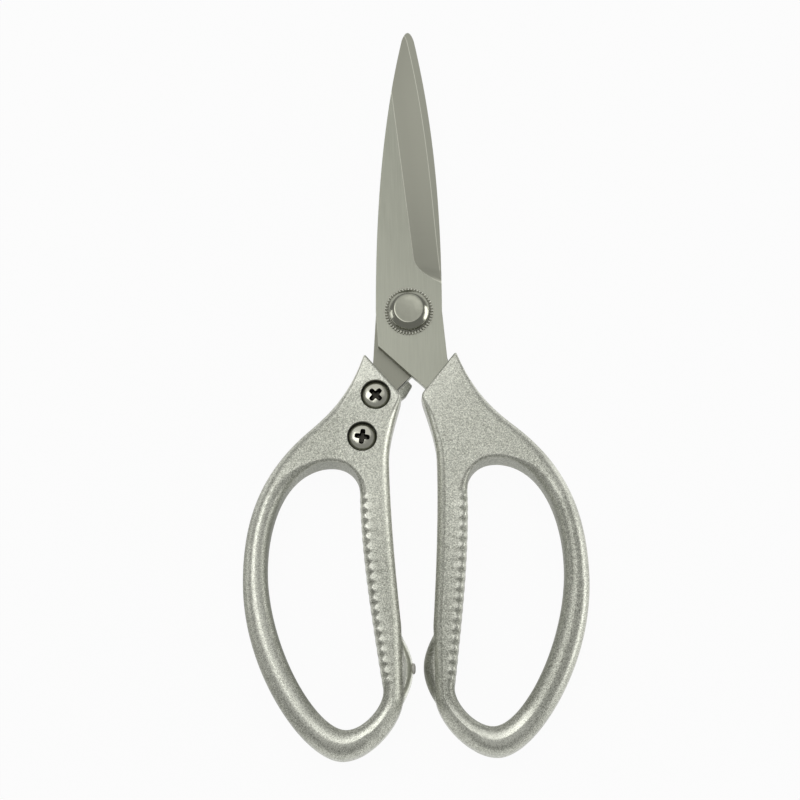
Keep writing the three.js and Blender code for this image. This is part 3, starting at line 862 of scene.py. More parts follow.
@dataclass
class Blade:
    """A ground blade with its shank and tang."""

    layout: Layout
    half: Half
    half_width: float = 9.1
    belly: float = 0.8
    belly_rise: float = 0.66
    lean: float = 1.25
    tip_half_width: float = 1.7
    tip_round: float = 2.5
    heel_corner: Flat = (-8.7, -9.5)
    shank_heel: Flat = (0.0, -17.9)
    tang_width: float = 7.6
    shank_above_screw: float = 9.6
    grind_start: float = 7.9
    grind_run_out: float = 7.3
    grind_ease: float = 2.0
    grind_line: float = 2.3
    grind_slope: float = 0.101
    hollow_depth: float = 0.03
    hollow_steps: int = 8
    hollow_first_step: int = 3
    glint_width: float = 0.2
    glint_share: float = 0.3
    narrow_strip: float = 0.1
    bevel_width: float = 2.1
    bevel_fade: float = 16.0
    bevel_thickness: float = 0.75
    edge_thickness: float = 0.25
    edge_round: float = 0.16
    stations: int = 90
    station_crowding: float = 1.4
    spacing: float = 0.7
    upward: float = 0.5
    level: float = 0.99995
    line_slack: float = 0.05
    crease: float = 25.0

    def side(self) -> list[Vector]:
        """Draws the cutting edge's side.

        Returns:
            Its points from the pivot's level up to the tip.
        """
        reach, tip = self.layout.tip_reach, self.tip_half_width
        base = reach - self.tip_round
        pen = Pen((self.half_width, 0), self.spacing)
        pen.curve((self.half_width, base / 3),
                  (blend(tip, self.half_width, self.belly), self.belly_rise * base), (tip, base))
        start, corner, end = Vector((tip, base)), Vector((tip / 2, reach)), Vector((0, reach))
        pen.spacing = self.spacing / 3
        return pen.curve(start.lerp(corner, 2 / 3), end.lerp(corner, 2 / 3), end).points

    def outline(self, lean: float) -> list[Vector]:
        """Draws the blade from its heel along the tang, the cutting edge, the tip and the spine.

        Args:
            lean: How far the working part leans to the right, in degrees.

        Returns:
            The outline, counter-clockwise.
        """
        layout = self.layout
        upper, lower = layout.screws
        reach = layout.neck_across * (self.tang_width / 2)
        heel, corner = Vector(self.shank_heel), Vector(self.heel_corner)
        inner = upper - reach
        bend = (inner - heel).length / 3
        pen = Pen((-self.half_width, 0), self.spacing)
        pen.line(corner).line(heel)
        pen.curve(heel + (heel - corner).normalized() * bend, inner - layout.neck_down * bend, inner)
        pen.line(lower - reach)
        pen.arc(lower, self.tang_width / 2, layout.neck_lean - 180, layout.neck_lean)
        pen.line(upper + reach - layout.neck_down * self.shank_above_screw)
        edge = self.side()
        spine = [Vector((-point.x, point.y)) for point in reversed(edge[1:-1])]
        pen.points += self.leaning(edge + spine, lean)
        return pen.outline()

    @staticmethod
    def leaning(points: Sequence[Vector], lean: float) -> list[Vector]:
        """Leans points to the right by an angle in degrees."""
        slant = math.tan(math.radians(lean))
        return [Vector((point.x + slant * point.y, point.y)) for point in points]

    def own_lean(self) -> float:
        """Gives the lean of this half's drawing, which turning the rear half reverses."""
        return self.lean if self.half is Half.FRONT else -self.lean

    @staticmethod
    def slab(name: str, outline: list[Vector], low: float, high: float, rounding: float) -> Mesh:
        """Makes a plate from an outline, with lightly rounded edges.

        Args:
            name: Name of the new object.
            outline: The plate's outline.
            low: Level of its lower face.
            high: Level of its upper face.
            rounding: Radius of its edges.

        Returns:
            The plate.
        """
        normals = inward_normals(outline)
        rings = []
        for level, side, angles in ((low, -1, (90, 60, 30, 0)), (high, 1, (0, 30, 60, 90))):
            for angle in angles:
                corner = polar(rounding, angle)
                inset, height = rounding - corner.x, level - side * (rounding - corner.y)
                rings.append(raised([p + n * inset for p, n in zip(outline, normals)], height))
        return Bench.loft(name, rings)

    @staticmethod
    def edge_at(edge: list[Vector], y: float) -> float:
        """Finds the cutting edge's place across.

        Args:
            edge: The edge's points, from the pivot's level up.
            y: Distance up the blade.

        Returns:
            The edge's place there, or that of its nearer end.
        """
        for before, after in zip(edge, edge[1:]):
            if before.y <= y <= after.y and after.y > before.y:
                return blend(before.x, after.x, (y - before.y) / (after.y - before.y))
        return edge[-1].x if y > edge[-1].y else edge[0].x

    def grind_at(self, y: float) -> Grind:
        """Works out the grinding's lines at a distance up the blade.

        Args:
            y: Distance above the pivot.

        Returns:
            The places of the grind line, the edge bevel and the edge, and the depth's share.
        """
        edge = self.leaning(self.side(), self.own_lean())
        run_out = self.grind_start + self.grind_run_out
        deep = smoothstep(y, self.grind_start, run_out - self.grind_ease)
        edge_x = self.edge_at(edge, y)
        line_x = self.grind_line - self.grind_slope * (y - self.grind_start)
        overhang = self.edge_at(edge, self.grind_start) - self.grind_line
        line_x += overhang * max(0.0, (run_out - y) / self.grind_run_out) ** 2
        width = self.bevel_width * (1 - math.exp((self.grind_start - y) / self.bevel_fade))
        return Grind(line_x, max(edge_x - width, (line_x + edge_x) / 2), edge_x, deep)

    def highlight_line_share(self, width: float) -> float:
        """Gives the share of a ground strip of some width that its painted highlight line takes up."""
        return min(self.glint_share, self.glint_width / max(self.narrow_strip, width))

    def wheel(self) -> Mesh:
        """Makes what the grinding wheel takes off: a long hollow over the cutting edge.

        Returns:
            A closed cutter.
        """
        top, edge_level = self.layout.blade_top, self.layout.blade_bottom + self.edge_thickness
        steps = range(self.hollow_first_step, self.hollow_steps + 1)
        shares = [step / self.hollow_steps for step in steps]
        rings = []
        for station in range(self.stations + 1):
            share = (station / self.stations) ** self.station_crowding
            y = blend(self.grind_start, self.layout.tip_reach + OVERCUT, share)
            cut = self.grind_at(y)
            rise = (self.bevel_thickness - self.edge_thickness) * (cut.edge - cut.bevel) / self.bevel_width
            bevel_z, edge_z = blend(top, edge_level + rise, cut.deep), blend(top, edge_level, cut.deep)
            out_x = cut.edge + OVERCUT
            section = [(out_x, top + OVERCUT), (cut.line, top + OVERCUT)]
            for along in (0, self.highlight_line_share(cut.bevel - cut.line), *shares):
                sag = 4 * along * (1 - along) * self.hollow_depth * cut.deep
                section.append((blend(cut.line, cut.bevel, along), blend(top, bevel_z, along) - sag))
            glint = self.highlight_line_share(cut.edge - cut.bevel)
            section.append((blend(cut.bevel, cut.edge, glint), blend(bevel_z, edge_z, glint)))
            section += [(cut.edge, edge_z), (out_x, edge_z)]
            rings.append([Vector((x, y, z)) for x, z in section])
        return Bench.loft("grinding_wheel", rings)

    def build(self) -> Mesh:
        """Makes the blade with its hollow grinding, its pivot hole and its screw holes.

        Returns:
            The finished piece.
        """
        layout = self.layout
        low, high = layout.blade_bottom - OVERCUT, layout.blade_top + OVERCUT
        blade = self.slab(f"ground_{self.half.blade}", self.outline(self.own_lean()), layout.blade_bottom,
                          layout.blade_top, self.edge_round)
        Bench.cut(blade, self.wheel(), Bench.rod((0, 0), layout.pivot_hole, low, high),
                  *(Bench.rod(spot, layout.screw_hole, low, high) for spot in layout.screws))
        self.dress(blade)
        hand_over(blade, self.half, self.half.blade)
        return blade

    def zone(self, face: bmesh.types.BMFace) -> Finishes:
        """Tells which finish a face of the blade's drawing has.

        Args:
            face: The face.

        Returns:
            The finish of the flat, the hollow, the edge bevel, the inner face or a painted highlight line.
        """
        middle = face.calc_center_median()
        if face.normal.z < -self.upward:
            return Finishes.INNER
        if middle.y < self.grind_start or not self.upward < face.normal.z < self.level:
            return Finishes.BLADE
        cut = self.grind_at(middle.y)
        if middle.x < cut.line - self.line_slack:
            return Finishes.BLADE
        # Painted highlight: faces in the thin strip at the grind line and at the bevel line take the pale
        # finish
        half = self.glint_width / 2
        if min(abs(middle.x - line - half) for line in (cut.line, cut.bevel)) < half:
            return Finishes.GLINT
        return Finishes.BEVEL if middle.x > cut.bevel else Finishes.HOLLOW

    def dress(self, blade: Mesh) -> None:
        """Gives each ground face its own finish, with crisp lines between them.

        Args:
            blade: The blade, still as drawn.
        """
        finishes = (Finishes.BLADE, Finishes.HOLLOW, Finishes.BEVEL, Finishes.INNER, Finishes.GLINT)
        Bench.paint(blade, *(finish.value.material() for finish in finishes))
        with Bench.editing(blade):
            body = bmesh.from_edit_mesh(blade.data)
            for face in body.faces:
                face.material_index = finishes.index(self.zone(face))
            bmesh.update_edit_mesh(blade.data)
            Bench.select_edges(blade, lambda e: len({face.material_index for face in e.link_faces}) > 1)
            bpy.ops.mesh.mark_sharp()
        Bench.shade(blade, self.crease)


@dataclass
class Handle:
    """A cast handle: finger loop, neck with the pocket for the tang, and stop tab.

    A pull is the share of a stretch that a curve's control point lies along it. A span is where something
    begins and where it is full, across the handle (x) or down from the pivot (drop).
    """

    layout: Layout
    blade: Blade
    neck_outer: Flat = (12.6, -11.9)
    neck_inner: Flat = (2.5, -24.1)
    neck_flare: float = 19.5
    neck_run: float = 9.2
    neck_pull: Flat = (0.28, 0.22)
    neck_end_pull: float = 0.36
    gap_lean: float = 1.2
    shoulder: Flat = (27.9, -33.0)
    shoulder_slope: float = 39.2
    shoulder_run: float = 10.5
    shoulder_reach: float = 13.0
    loop_top: float = 42.3
    loop_top_x: float = 22.5
    loop_out: float = 40.05
    loop_waist: float = 72.0
    loop_heel_x: float = 19.6
    loop_arch_pull: Flat = (0.57, 0.58)
    loop_bow_pull: Flat = (0.47, 0.39)
    loop_toe_pull: Flat = (0.45, 0.43)
    loop_corner_pull: float = 0.6
    loop_corner_shift: float = 1.0
    heel_set_out: float = 1.2
    heel_width: float = 8.1
    heel_pull: Flat = (0.39, 0.5)
    toe_swing: float = 0.9
    toe_pull: Flat = (0.41, 0.45)
    bow_width: float = 6.8
    bow_pull: float = 0.54
    grip_width: float = 8.1
    grip_high: Flat = (14.6, -50.5)
    grip_low_rise: float = 19.0
    grip_low_x: float = 9.6
    grip_bulge: float = 1.4
    grip_inside_rise: float = 15.6
    grip_inside_x: float = 4.3
    draft: float = 2.0
    mouth_round: float = 0.7
    mouth_drop: Span = (24.0, 30.0)
    neck_round: float = 1.5
    neck_drop: Span = (30.0, 50.0)
    gap_round: float = 2.1
    gap_bevel: float = 0.75
    gap_bevel_x: Span = (15.0, 11.0)
    gap_bevel_drop: Span = (25.0, 31.0)
    shoulder_round: float = 2.4
    shoulder_x: Span = (13.0, 24.0)
    arch_round: float = 0.9
    arch_drop: Span = (44.0, 52.0)
    grip_round: float = 2.4
    crown_flat: float = 0.4
    bow_round: float = 4.0
    bow_depth: float = 3.5
    bow_x: Span = (14.0, 24.0)
    bow_drop: Span = (31.0, 47.0)
    heel_drop: Span = (105.0, 114.0)
    loop_bow_x: Span = (25.0, 38.0)
    loop_heel_span: Span = (16.0, 24.0)
    loop_heel_drop: Span = (101.0, 110.0)
    round_steps: int = 9
    rib_count: int = 19
    rib_height: float = 0.5
    rib_valley: float = 0.15
    rib_fade: float = 0.05
    rib_foot: float = 0.25
    rib_crest: float = 2.6
    rib_steps: int = 12
    lip_reach: float = 4.6
    lip_width: float = 0.9
    lip_inset: float = 0.1
    lip_slant: float = 0.3
    lip_start: float = 0.3
    lip_round: float = 0.15
    tab_tip_x: float = 1.4
    tab_rise: float = 24.4
    tab_half_length: float = 10.5
    tab_clear: float = 1.0
    tab_sink: float = 0.8
    tab_flare: Flat = (1.2, 1.6)
    tab_root: float = 4.0
    tab_thickness: float = 7.0
    tab_nose: float = 2.9
    tab_steps: int = 16
    bumper_radius: float = 1.5
    bumper_length: float = 2.6
    bumper_proud: float = 0.65
    bumper_chamfer: float = 0.15
    bumper_nose: Profile = ((1.0, 0.6), (0.93, 0.32), (0.75, 0.12), (0.45, 0.02))
    bumper_sides: int = 48
    pocket_clearance: float = 0.3
    pocket_round: float = 0.1
    bore_margin: float = 0.2
    bore_end: float = 0.7
    bore_mouth: Profile = ((0.0, 0.16), (0.04, 0.06), (0.14, -0.02))
    bore_sides: int = 72
    corner_room: float = 1.3
    corner_steps: int = 4
    spacing: float = 0.8
    crease: float = 30.0
    bumper_crease: float = 40.0

    @property
    def tab_drop(self) -> float:
        """Distance of the stop tab's tip below the pivot."""
        return self.layout.heel_reach - self.tab_rise

    def loop(self) -> tuple[list[Vector], list[float]]:
        """Draws the finger opening, clockwise so that the metal lies on its left.

        Returns:
            The outline, and the height of the ribs at each of its points.
        """
        top, top_x, waist, out = self.loop_top, self.loop_top_x, self.loop_waist, self.loop_out
        heel_x, low_x = self.loop_heel_x, self.grip_low_x
        bottom = self.layout.heel_reach - self.heel_width
        low = self.layout.heel_reach - self.grip_low_rise
        high_x, high = self.grip_high[0], -self.grip_high[1]
        third = (low - high) / 3
        lean = (high_x - low_x) / (low - high)
        toe = bottom - low
        pen = Pen((top_x, -top), self.spacing)
        leave, arrive = self.loop_arch_pull
        pen.curve((blend(top_x, out, leave), -top), (out, arrive * (waist - top) - waist), (out, -waist))
        leave, arrive = self.loop_bow_pull
        pen.curve((out, -waist - leave * (bottom - waist)), (blend(heel_x, out, arrive), -bottom),
                  (heel_x, -bottom))
        leave, arrive = self.loop_toe_pull
        pen.curve((blend(heel_x, low_x, leave), -bottom), (low_x - lean * toe / 3, -low - arrive * toe),
                  (low_x, -low))
        first = len(pen.points)
        pen.spacing = (low - high) / (self.rib_count * self.rib_steps)
        pen.curve((low_x + self.grip_bulge * lean * third, third - low), (high_x, -high - third),
                  (high_x, -high))
        last = len(pen.points) - 1
        pen.spacing = self.spacing
        corner_x = (high_x + top_x) / 2 - self.loop_corner_shift
        pen.curve((high_x, self.loop_corner_pull * (high - top) - high), (corner_x, -top), (top_x, -top))
        points = pen.points[:-1]
        ribs = [0.0] * len(points)
        for i in range(first, last):
            share = (i - first + 1) / (last - first + 1)
            ends = smoothstep(share, 0, self.rib_fade) * smoothstep(share, 1, 1 - self.rib_fade)
            wave = abs(math.sin(share * self.rib_count * math.pi)) - self.rib_valley
            ribs[i] = self.rib_height * ends * wave
        return points, ribs

    def outer(self) -> list[Vector]:
        """Draws the outside of the casting.

        Returns:
            The outline, counter-clockwise from the inner corner of the neck.
        """
        reach, grip_x = self.layout.heel_reach, self.grip_inside_x
        bow_x, waist = self.loop_out + self.bow_width, self.loop_waist + self.bow_width / 2
        inside_x = self.grip_high[0] - self.grip_width
        inside_high = -self.grip_high[1] - self.grip_width
        inside_low = reach - self.grip_inside_rise
        heel_x = self.loop_heel_x + self.heel_set_out
        tab_top = self.tab_drop - self.tab_half_length - self.tab_clear
        third = (tab_top - inside_high) / 3
        neck, mouth, shoulder = Vector(self.neck_inner), Vector(self.neck_outer), Vector(self.shoulder)
        neck_rise = inside_high + neck.y
        slope = polar(1, -self.shoulder_slope)
        pen = Pen(neck, self.spacing)
        across, down = self.neck_pull
        pen.curve((blend(neck.x, inside_x, across), neck.y - down * neck_rise),
                  (inside_x, self.neck_end_pull * neck_rise - inside_high), (inside_x, -inside_high))
        pen.curve((inside_x, -inside_high - third), (grip_x + self.gap_lean, third - tab_top),
                  (grip_x, -tab_top))
        pen.line((grip_x, -inside_low))
        leave, arrive = self.toe_pull
        pen.curve((grip_x + self.toe_swing, -inside_low - leave * self.grip_inside_rise),
                  (blend(heel_x, grip_x, arrive), -reach), (heel_x, -reach))
        leave, arrive = self.heel_pull
        pen.curve((blend(heel_x, bow_x, leave), -reach), (bow_x, -blend(waist, reach, arrive)),
                  (bow_x, -waist))
        pen.curve((bow_x, self.bow_pull * (waist + shoulder.y) - waist),
                  shoulder + slope * self.shoulder_reach, shoulder)
        pen.curve(shoulder - slope * self.shoulder_run,
                  mouth + polar(self.neck_run, self.neck_flare - 90), mouth)
        pen.line(neck)
        return self.softened(self.softened(pen.outline(), neck), mouth)

    def softened(self, points: list[Vector], corner: Vector) -> list[Vector]:
        """Rounds one corner of a closed outline.

        Args:
            points: The outline.
            corner: The corner's place.

        Returns:
            The outline with a short curve instead of the corner.
        """
        room = self.corner_room
        here = min(range(len(points)), key=lambda i: (points[i] - corner).length)
        middle = len(points) // 2
        rolled = [points[(here + step - middle) % len(points)] for step in range(len(points))]
        before = [p for p in rolled[:middle] if (p - corner).length > room]
        after = [p for p in rolled[middle + 1:] if (p - corner).length > room]
        start, end = (corner + (side - corner).normalized() * room for side in (before[-1], after[0]))
        shares = [step / self.corner_steps for step in range(self.corner_steps + 1)]
        return before + [start.lerp(corner, s).lerp(corner.lerp(end, s), s) for s in shares] + after

    def rounding(self, point: Vector, width: float, inside: bool) -> tuple[float, float]:
        """Gives how far an edge is rounded in from its side and down from its face.

        Args:
            point: Place on the outline.
            width: Width of the metal there.
            inside: Whether the outline is the finger opening's.

        Returns:
            The two distances.
        """
        x, drop = point.x, -point.y
        if inside:
            heel = max(smoothstep(drop, *self.loop_heel_drop), smoothstep(x, *self.loop_heel_span))
            bow = smoothstep(x, *self.loop_bow_x) if drop < self.loop_waist else heel
            plain = blend(self.arch_round, self.grip_round, smoothstep(drop, *self.arch_drop))
        else:
            bow = smoothstep(x, *self.bow_x) * smoothstep(drop, *self.bow_drop)
            bow = max(bow, smoothstep(drop, *self.heel_drop))
            plain = blend(self.mouth_round, self.neck_round, smoothstep(drop, *self.mouth_drop))
            plain = blend(plain, self.gap_round, smoothstep(drop, *self.neck_drop))
            plain = blend(plain, self.shoulder_round, smoothstep(x, *self.shoulder_x))
        full = min(self.bow_round, (width - self.crown_flat) / 2)
        return blend(plain, full, bow), blend(plain, self.bow_depth, bow)

    def bevel(self, point: Vector) -> float:
        """Tells how far the outer rounding is a flat bevel: only along the gap between the handles."""
        gap = smoothstep(point.x, *self.gap_bevel_x) * smoothstep(-point.y, *self.gap_bevel_drop)
        return self.gap_bevel * gap

    def wall(self, name: str, points: list[Vector], ribs: list[float], other: list[Vector],
             inside: bool) -> Mesh:
        """Makes one wall of the casting, from its back face over its side to its front face.

        Args:
            name: Name of the new object.
            points: The wall's outline.
            ribs: Height of the ribs at each point.
            other: The casting's other outline.
            inside: Whether the wall is the finger opening's.

        Returns:
            The wall, open at its two ends.
        """
        normals = inward_normals(points)
        widths = [min((p - q).length for q in other) for p in points]
        rounds = [(*self.rounding(p, w, inside), 0.0 if inside else self.bevel(p))
                  for p, w in zip(points, widths)]
        slope = math.tan(math.radians(self.draft))
        face = self.layout.half_thickness
        angles = [math.pi / 2 * step / self.round_steps for step in range(self.round_steps + 1)]

        def ring(side: int, angle: float) -> list[Vector]:
            """Gives the loop of points at one angle of the rounding.

            Args:
                side: 1 towards the front face, -1 towards the back, 0 half-way between them.
                angle: How far round the edge, from the side to the face.

            Returns:
                The loop.
            """
            sine, cosine, share = math.sin(angle), math.cos(angle), angle / angles[-1]
            loop = []
            for p, n, rib, (inwards, downwards, flat) in zip(points, normals, ribs, rounds):
                upright = (face - downwards) * abs(side)
                bead = rib * cosine * (self.rib_foot + self.rib_crest * sine**2)
                inset = upright * slope + inwards * blend(1 - cosine, share, flat) - bead * cosine
                height = upright + downwards * blend(sine, share, flat) + bead * sine
                spot = p + n * inset
                loop.append(Vector((spot.x, spot.y, side * min(height, face))))
            return loop

        back = [ring(-1, angle) for angle in reversed(angles)]
        return Bench.loft(name, [*back, ring(0, 0), *(ring(1, angle) for angle in angles)], capped=False)

    def tab(self) -> Mesh:
        """Makes the stop tab, a rounded nose that swells out of the grip's inner side and sinks back.

        Returns:
            A closed solid, with its root inside the grip.
        """
        drop, tip_x, grip_x = self.tab_drop, self.tab_tip_x, self.grip_inside_x
        top, bottom = self.tab_half_length - drop, -self.tab_half_length - drop
        bulge = self.tab_half_length / 3
        pen = Pen((grip_x + self.tab_sink, top), self.spacing)
        pen.curve((grip_x - self.tab_flare[0], top - bulge), (tip_x, bulge - drop), (tip_x, -drop))
        pen.curve((tip_x, -drop - bulge), (grip_x - self.tab_flare[1], bottom + bulge),
                  (grip_x + self.tab_sink, bottom))
        half, root = self.tab_thickness / 2, grip_x + self.tab_root
        angles = [math.pi * (0.5 - step / self.tab_steps) for step in range(self.tab_steps + 1)]
        rings = []
        for tip in pen.points:
            ring = [Vector((root, side * half, -tip.y)) for side in (-1, 1)]
            for angle in angles:
                across = tip.x + self.tab_nose * (1 - math.cos(angle))
                ring.append(Vector((across, half * math.sin(angle), -tip.y)))
            rings.append(ring)
        tab = Bench.loft("stop_tab", rings)
        Bench.settle(tab, Matrix.Rotation(math.pi / 2, 4, "X"))
        return tab

    def lip(self) -> Mesh:
        """Makes the lip beside the tang's mouth, which carries on the inner wall of the pocket.

        Returns:
            A closed solid.
        """
        inner, outer = Vector(self.neck_inner), Vector(self.neck_outer)
        along = (outer - inner).normalized()
        forwards = Vector((-along.y, along.x))
        thin, reach = self.lip_width, self.lip_reach
        wide = thin + self.blade.tang_width / 4
        marks = [(self.lip_inset, -thin), (wide, -thin), (wide, reach), (thin + self.lip_slant, reach),
                 (self.lip_inset, self.lip_start * reach)]
        corners = [inner + along * across + forwards * ahead for across, ahead in marks]
        low, high = self.layout.blade_bottom, self.layout.blade_top
        return self.blade.slab("pocket_lip", corners, low, high, self.lip_round)

    def casting(self) -> Mesh:
        """Makes the casting with its tab, before anything is cut out of it.

        Returns:
            A closed solid.
        """
        outer = self.outer()
        loop, ribs = self.loop()
        walls = [self.wall("cast_outside", outer, [0.0] * len(outer), loop, False),
                 self.wall("cast_opening", loop, ribs, outer, True)]
        Bench.take(*walls)
        bpy.ops.object.join()
        body = walls[0]
        with Bench.editing(body):
            Bench.fill_open_edges(body)
        Bench.combine(body, self.tab(), "UNION")
        return body

    def bore(self, spot: Vector) -> Mesh:
        """Makes the cutter for a screw: a counterbore with a softened mouth, and its hole.

        Args:
            spot: The screw's place.

        Returns:
            A closed cutter.
        """
        layout = self.layout
        wide, narrow = layout.head_radius + self.bore_margin, layout.screw_hole
        face, seat = -layout.half_thickness, layout.screw_seat + layout.fit_gap
        end = layout.blade_top + self.bore_end
        mouth = [(wide + out, face + up) for out, up in self.bore_mouth]
        profile = [(0, end), (narrow, end), (narrow, seat), (wide, seat), *mouth,
                   (mouth[-1][0], face - OVERCUT), (0, face - OVERCUT)]
        cutter = Bench.turn("screw_bore", profile, self.bore_sides)
        Bench.settle(cutter, Matrix.Translation((spot.x, spot.y, 0)))
        return cutter

    def bumper_seat(self) -> Mesh:
        """Makes the cutter for the bumper's round seat in the tab's tip.

        Returns:
            A closed cutter.
        """
        gap = self.layout.fit_gap
        depth = self.bumper_length - self.bumper_proud + gap
        length = depth + OVERCUT
        seat = Bench.rod((0, 0), self.bumper_radius + gap, -length / 2, length / 2, self.bumper_sides)
        middle = Vector((self.tab_tip_x + (depth - OVERCUT) / 2, -self.tab_drop, 0))
        Bench.settle(seat, Matrix.Translation(middle) @ Matrix.Rotation(math.pi / 2, 4, "Y"))
        return seat

    def finish(self, casting: Mesh, half: Half) -> Mesh:
        """Cuts and dresses one handle.

        Args:
            casting: The plain casting, which is copied.
            half: The half that the handle belongs to.

        Returns:
            The finished piece.
        """
        handle = Bench.copy(casting, f"cast_{half.side}_handle")
        if half is Half.REAR:
            Bench.combine(handle, self.lip(), "UNION")
        room = self.pocket_clearance
        outline = self.blade.outline(0)
        grown = [p - n * room for p, n in zip(outline, inward_normals(outline))]
        low, high = self.layout.blade_bottom - room, self.layout.blade_top + room
        Bench.cut(handle, self.blade.slab("tang_pocket", grown, low, high, self.pocket_round),
                  *(self.bore(spot) for spot in self.layout.screws))
        if half is Half.REAR:
            Bench.cut(handle, self.bumper_seat())
        Bench.dress(handle, self.crease, Finishes.CASTING)
        # Paints highlights and shade into the handle's colour as a point attribute
        Skin(self, LEFT_HANDLE_SHADING if half is Half.REAR else RIGHT_HANDLE_SHADING).mark(handle)
        hand_over(handle, half, f"{half.side}_handle")
        return handle

    def bumper(self) -> Mesh:
        """Makes the pale nub that sits in the left stop tab.

        Returns:
            The finished piece.
        """
        r, end, chamfer = self.bumper_radius, self.bumper_length, self.bumper_chamfer
        nose = [(share * r, end - below) for share, below in self.bumper_nose]
        profile = [(0, 0), (r - chamfer, 0), (r, chamfer), *nose, (0, end)]
        nub = Bench.turn("pale_stop_bumper", profile, self.bumper_sides)
        base = Vector((self.tab_tip_x + end - self.bumper_proud, -self.tab_drop, 0))
        Bench.settle(nub, Matrix.Translation(base) @ Matrix.Rotation(-math.pi / 2, 4, "Y"))
        Bench.dress(nub, self.bumper_crease, Finishes.RUBBER)
        hand_over(nub, Half.REAR, "stop_bumper")
        return nub


@dataclass(frozen=True)
class Wear:
    """The light and shade painted on one handle: what each zone adds to its shade, a painted highlight above
    zero and painted shade below it.
    """

    crown: float
    inner_crown_depth: Span
    flank: float
    inner: float
    inner_inset: Span
    grip: float
    grip_drop: Span
    neck: float
    shoulder: float
    shoulder_x: Span
    shoulder_drop: Span
    heel: float
    tab: float


# Painted light per handle: the right handle's crown, inner bow, grip, neck and tab get painted shade and its
# shoulder and heel painted highlights; the left bow's crown, heel and tab get painted highlights and its
# flank, inner bow, grip and shoulder painted shade
RIGHT_HANDLE_SHADING = Wear(crown=-0.1, inner_crown_depth=(0.5, 0.0), flank=0.0, inner=-0.15, inner_inset=(3.0, 1.5),
                  grip=-0.2, grip_drop=(36.0, 105.0), neck=-0.1, shoulder=0.35, shoulder_x=(35.0, 40.0),
                  shoulder_drop=(58.0, 46.0), heel=0.4, tab=-0.45)
LEFT_HANDLE_SHADING = Wear(crown=0.22, inner_crown_depth=(1.7, 0.4), flank=-0.3, inner=-0.35, inner_inset=(2.3, 1.5),
                 grip=-0.13, grip_drop=(48.0, 75.0), neck=0.0, shoulder=-0.1, shoulder_x=(16.0, 23.0),
                 shoulder_drop=(46.0, 38.0), heel=0.25, tab=0.6)


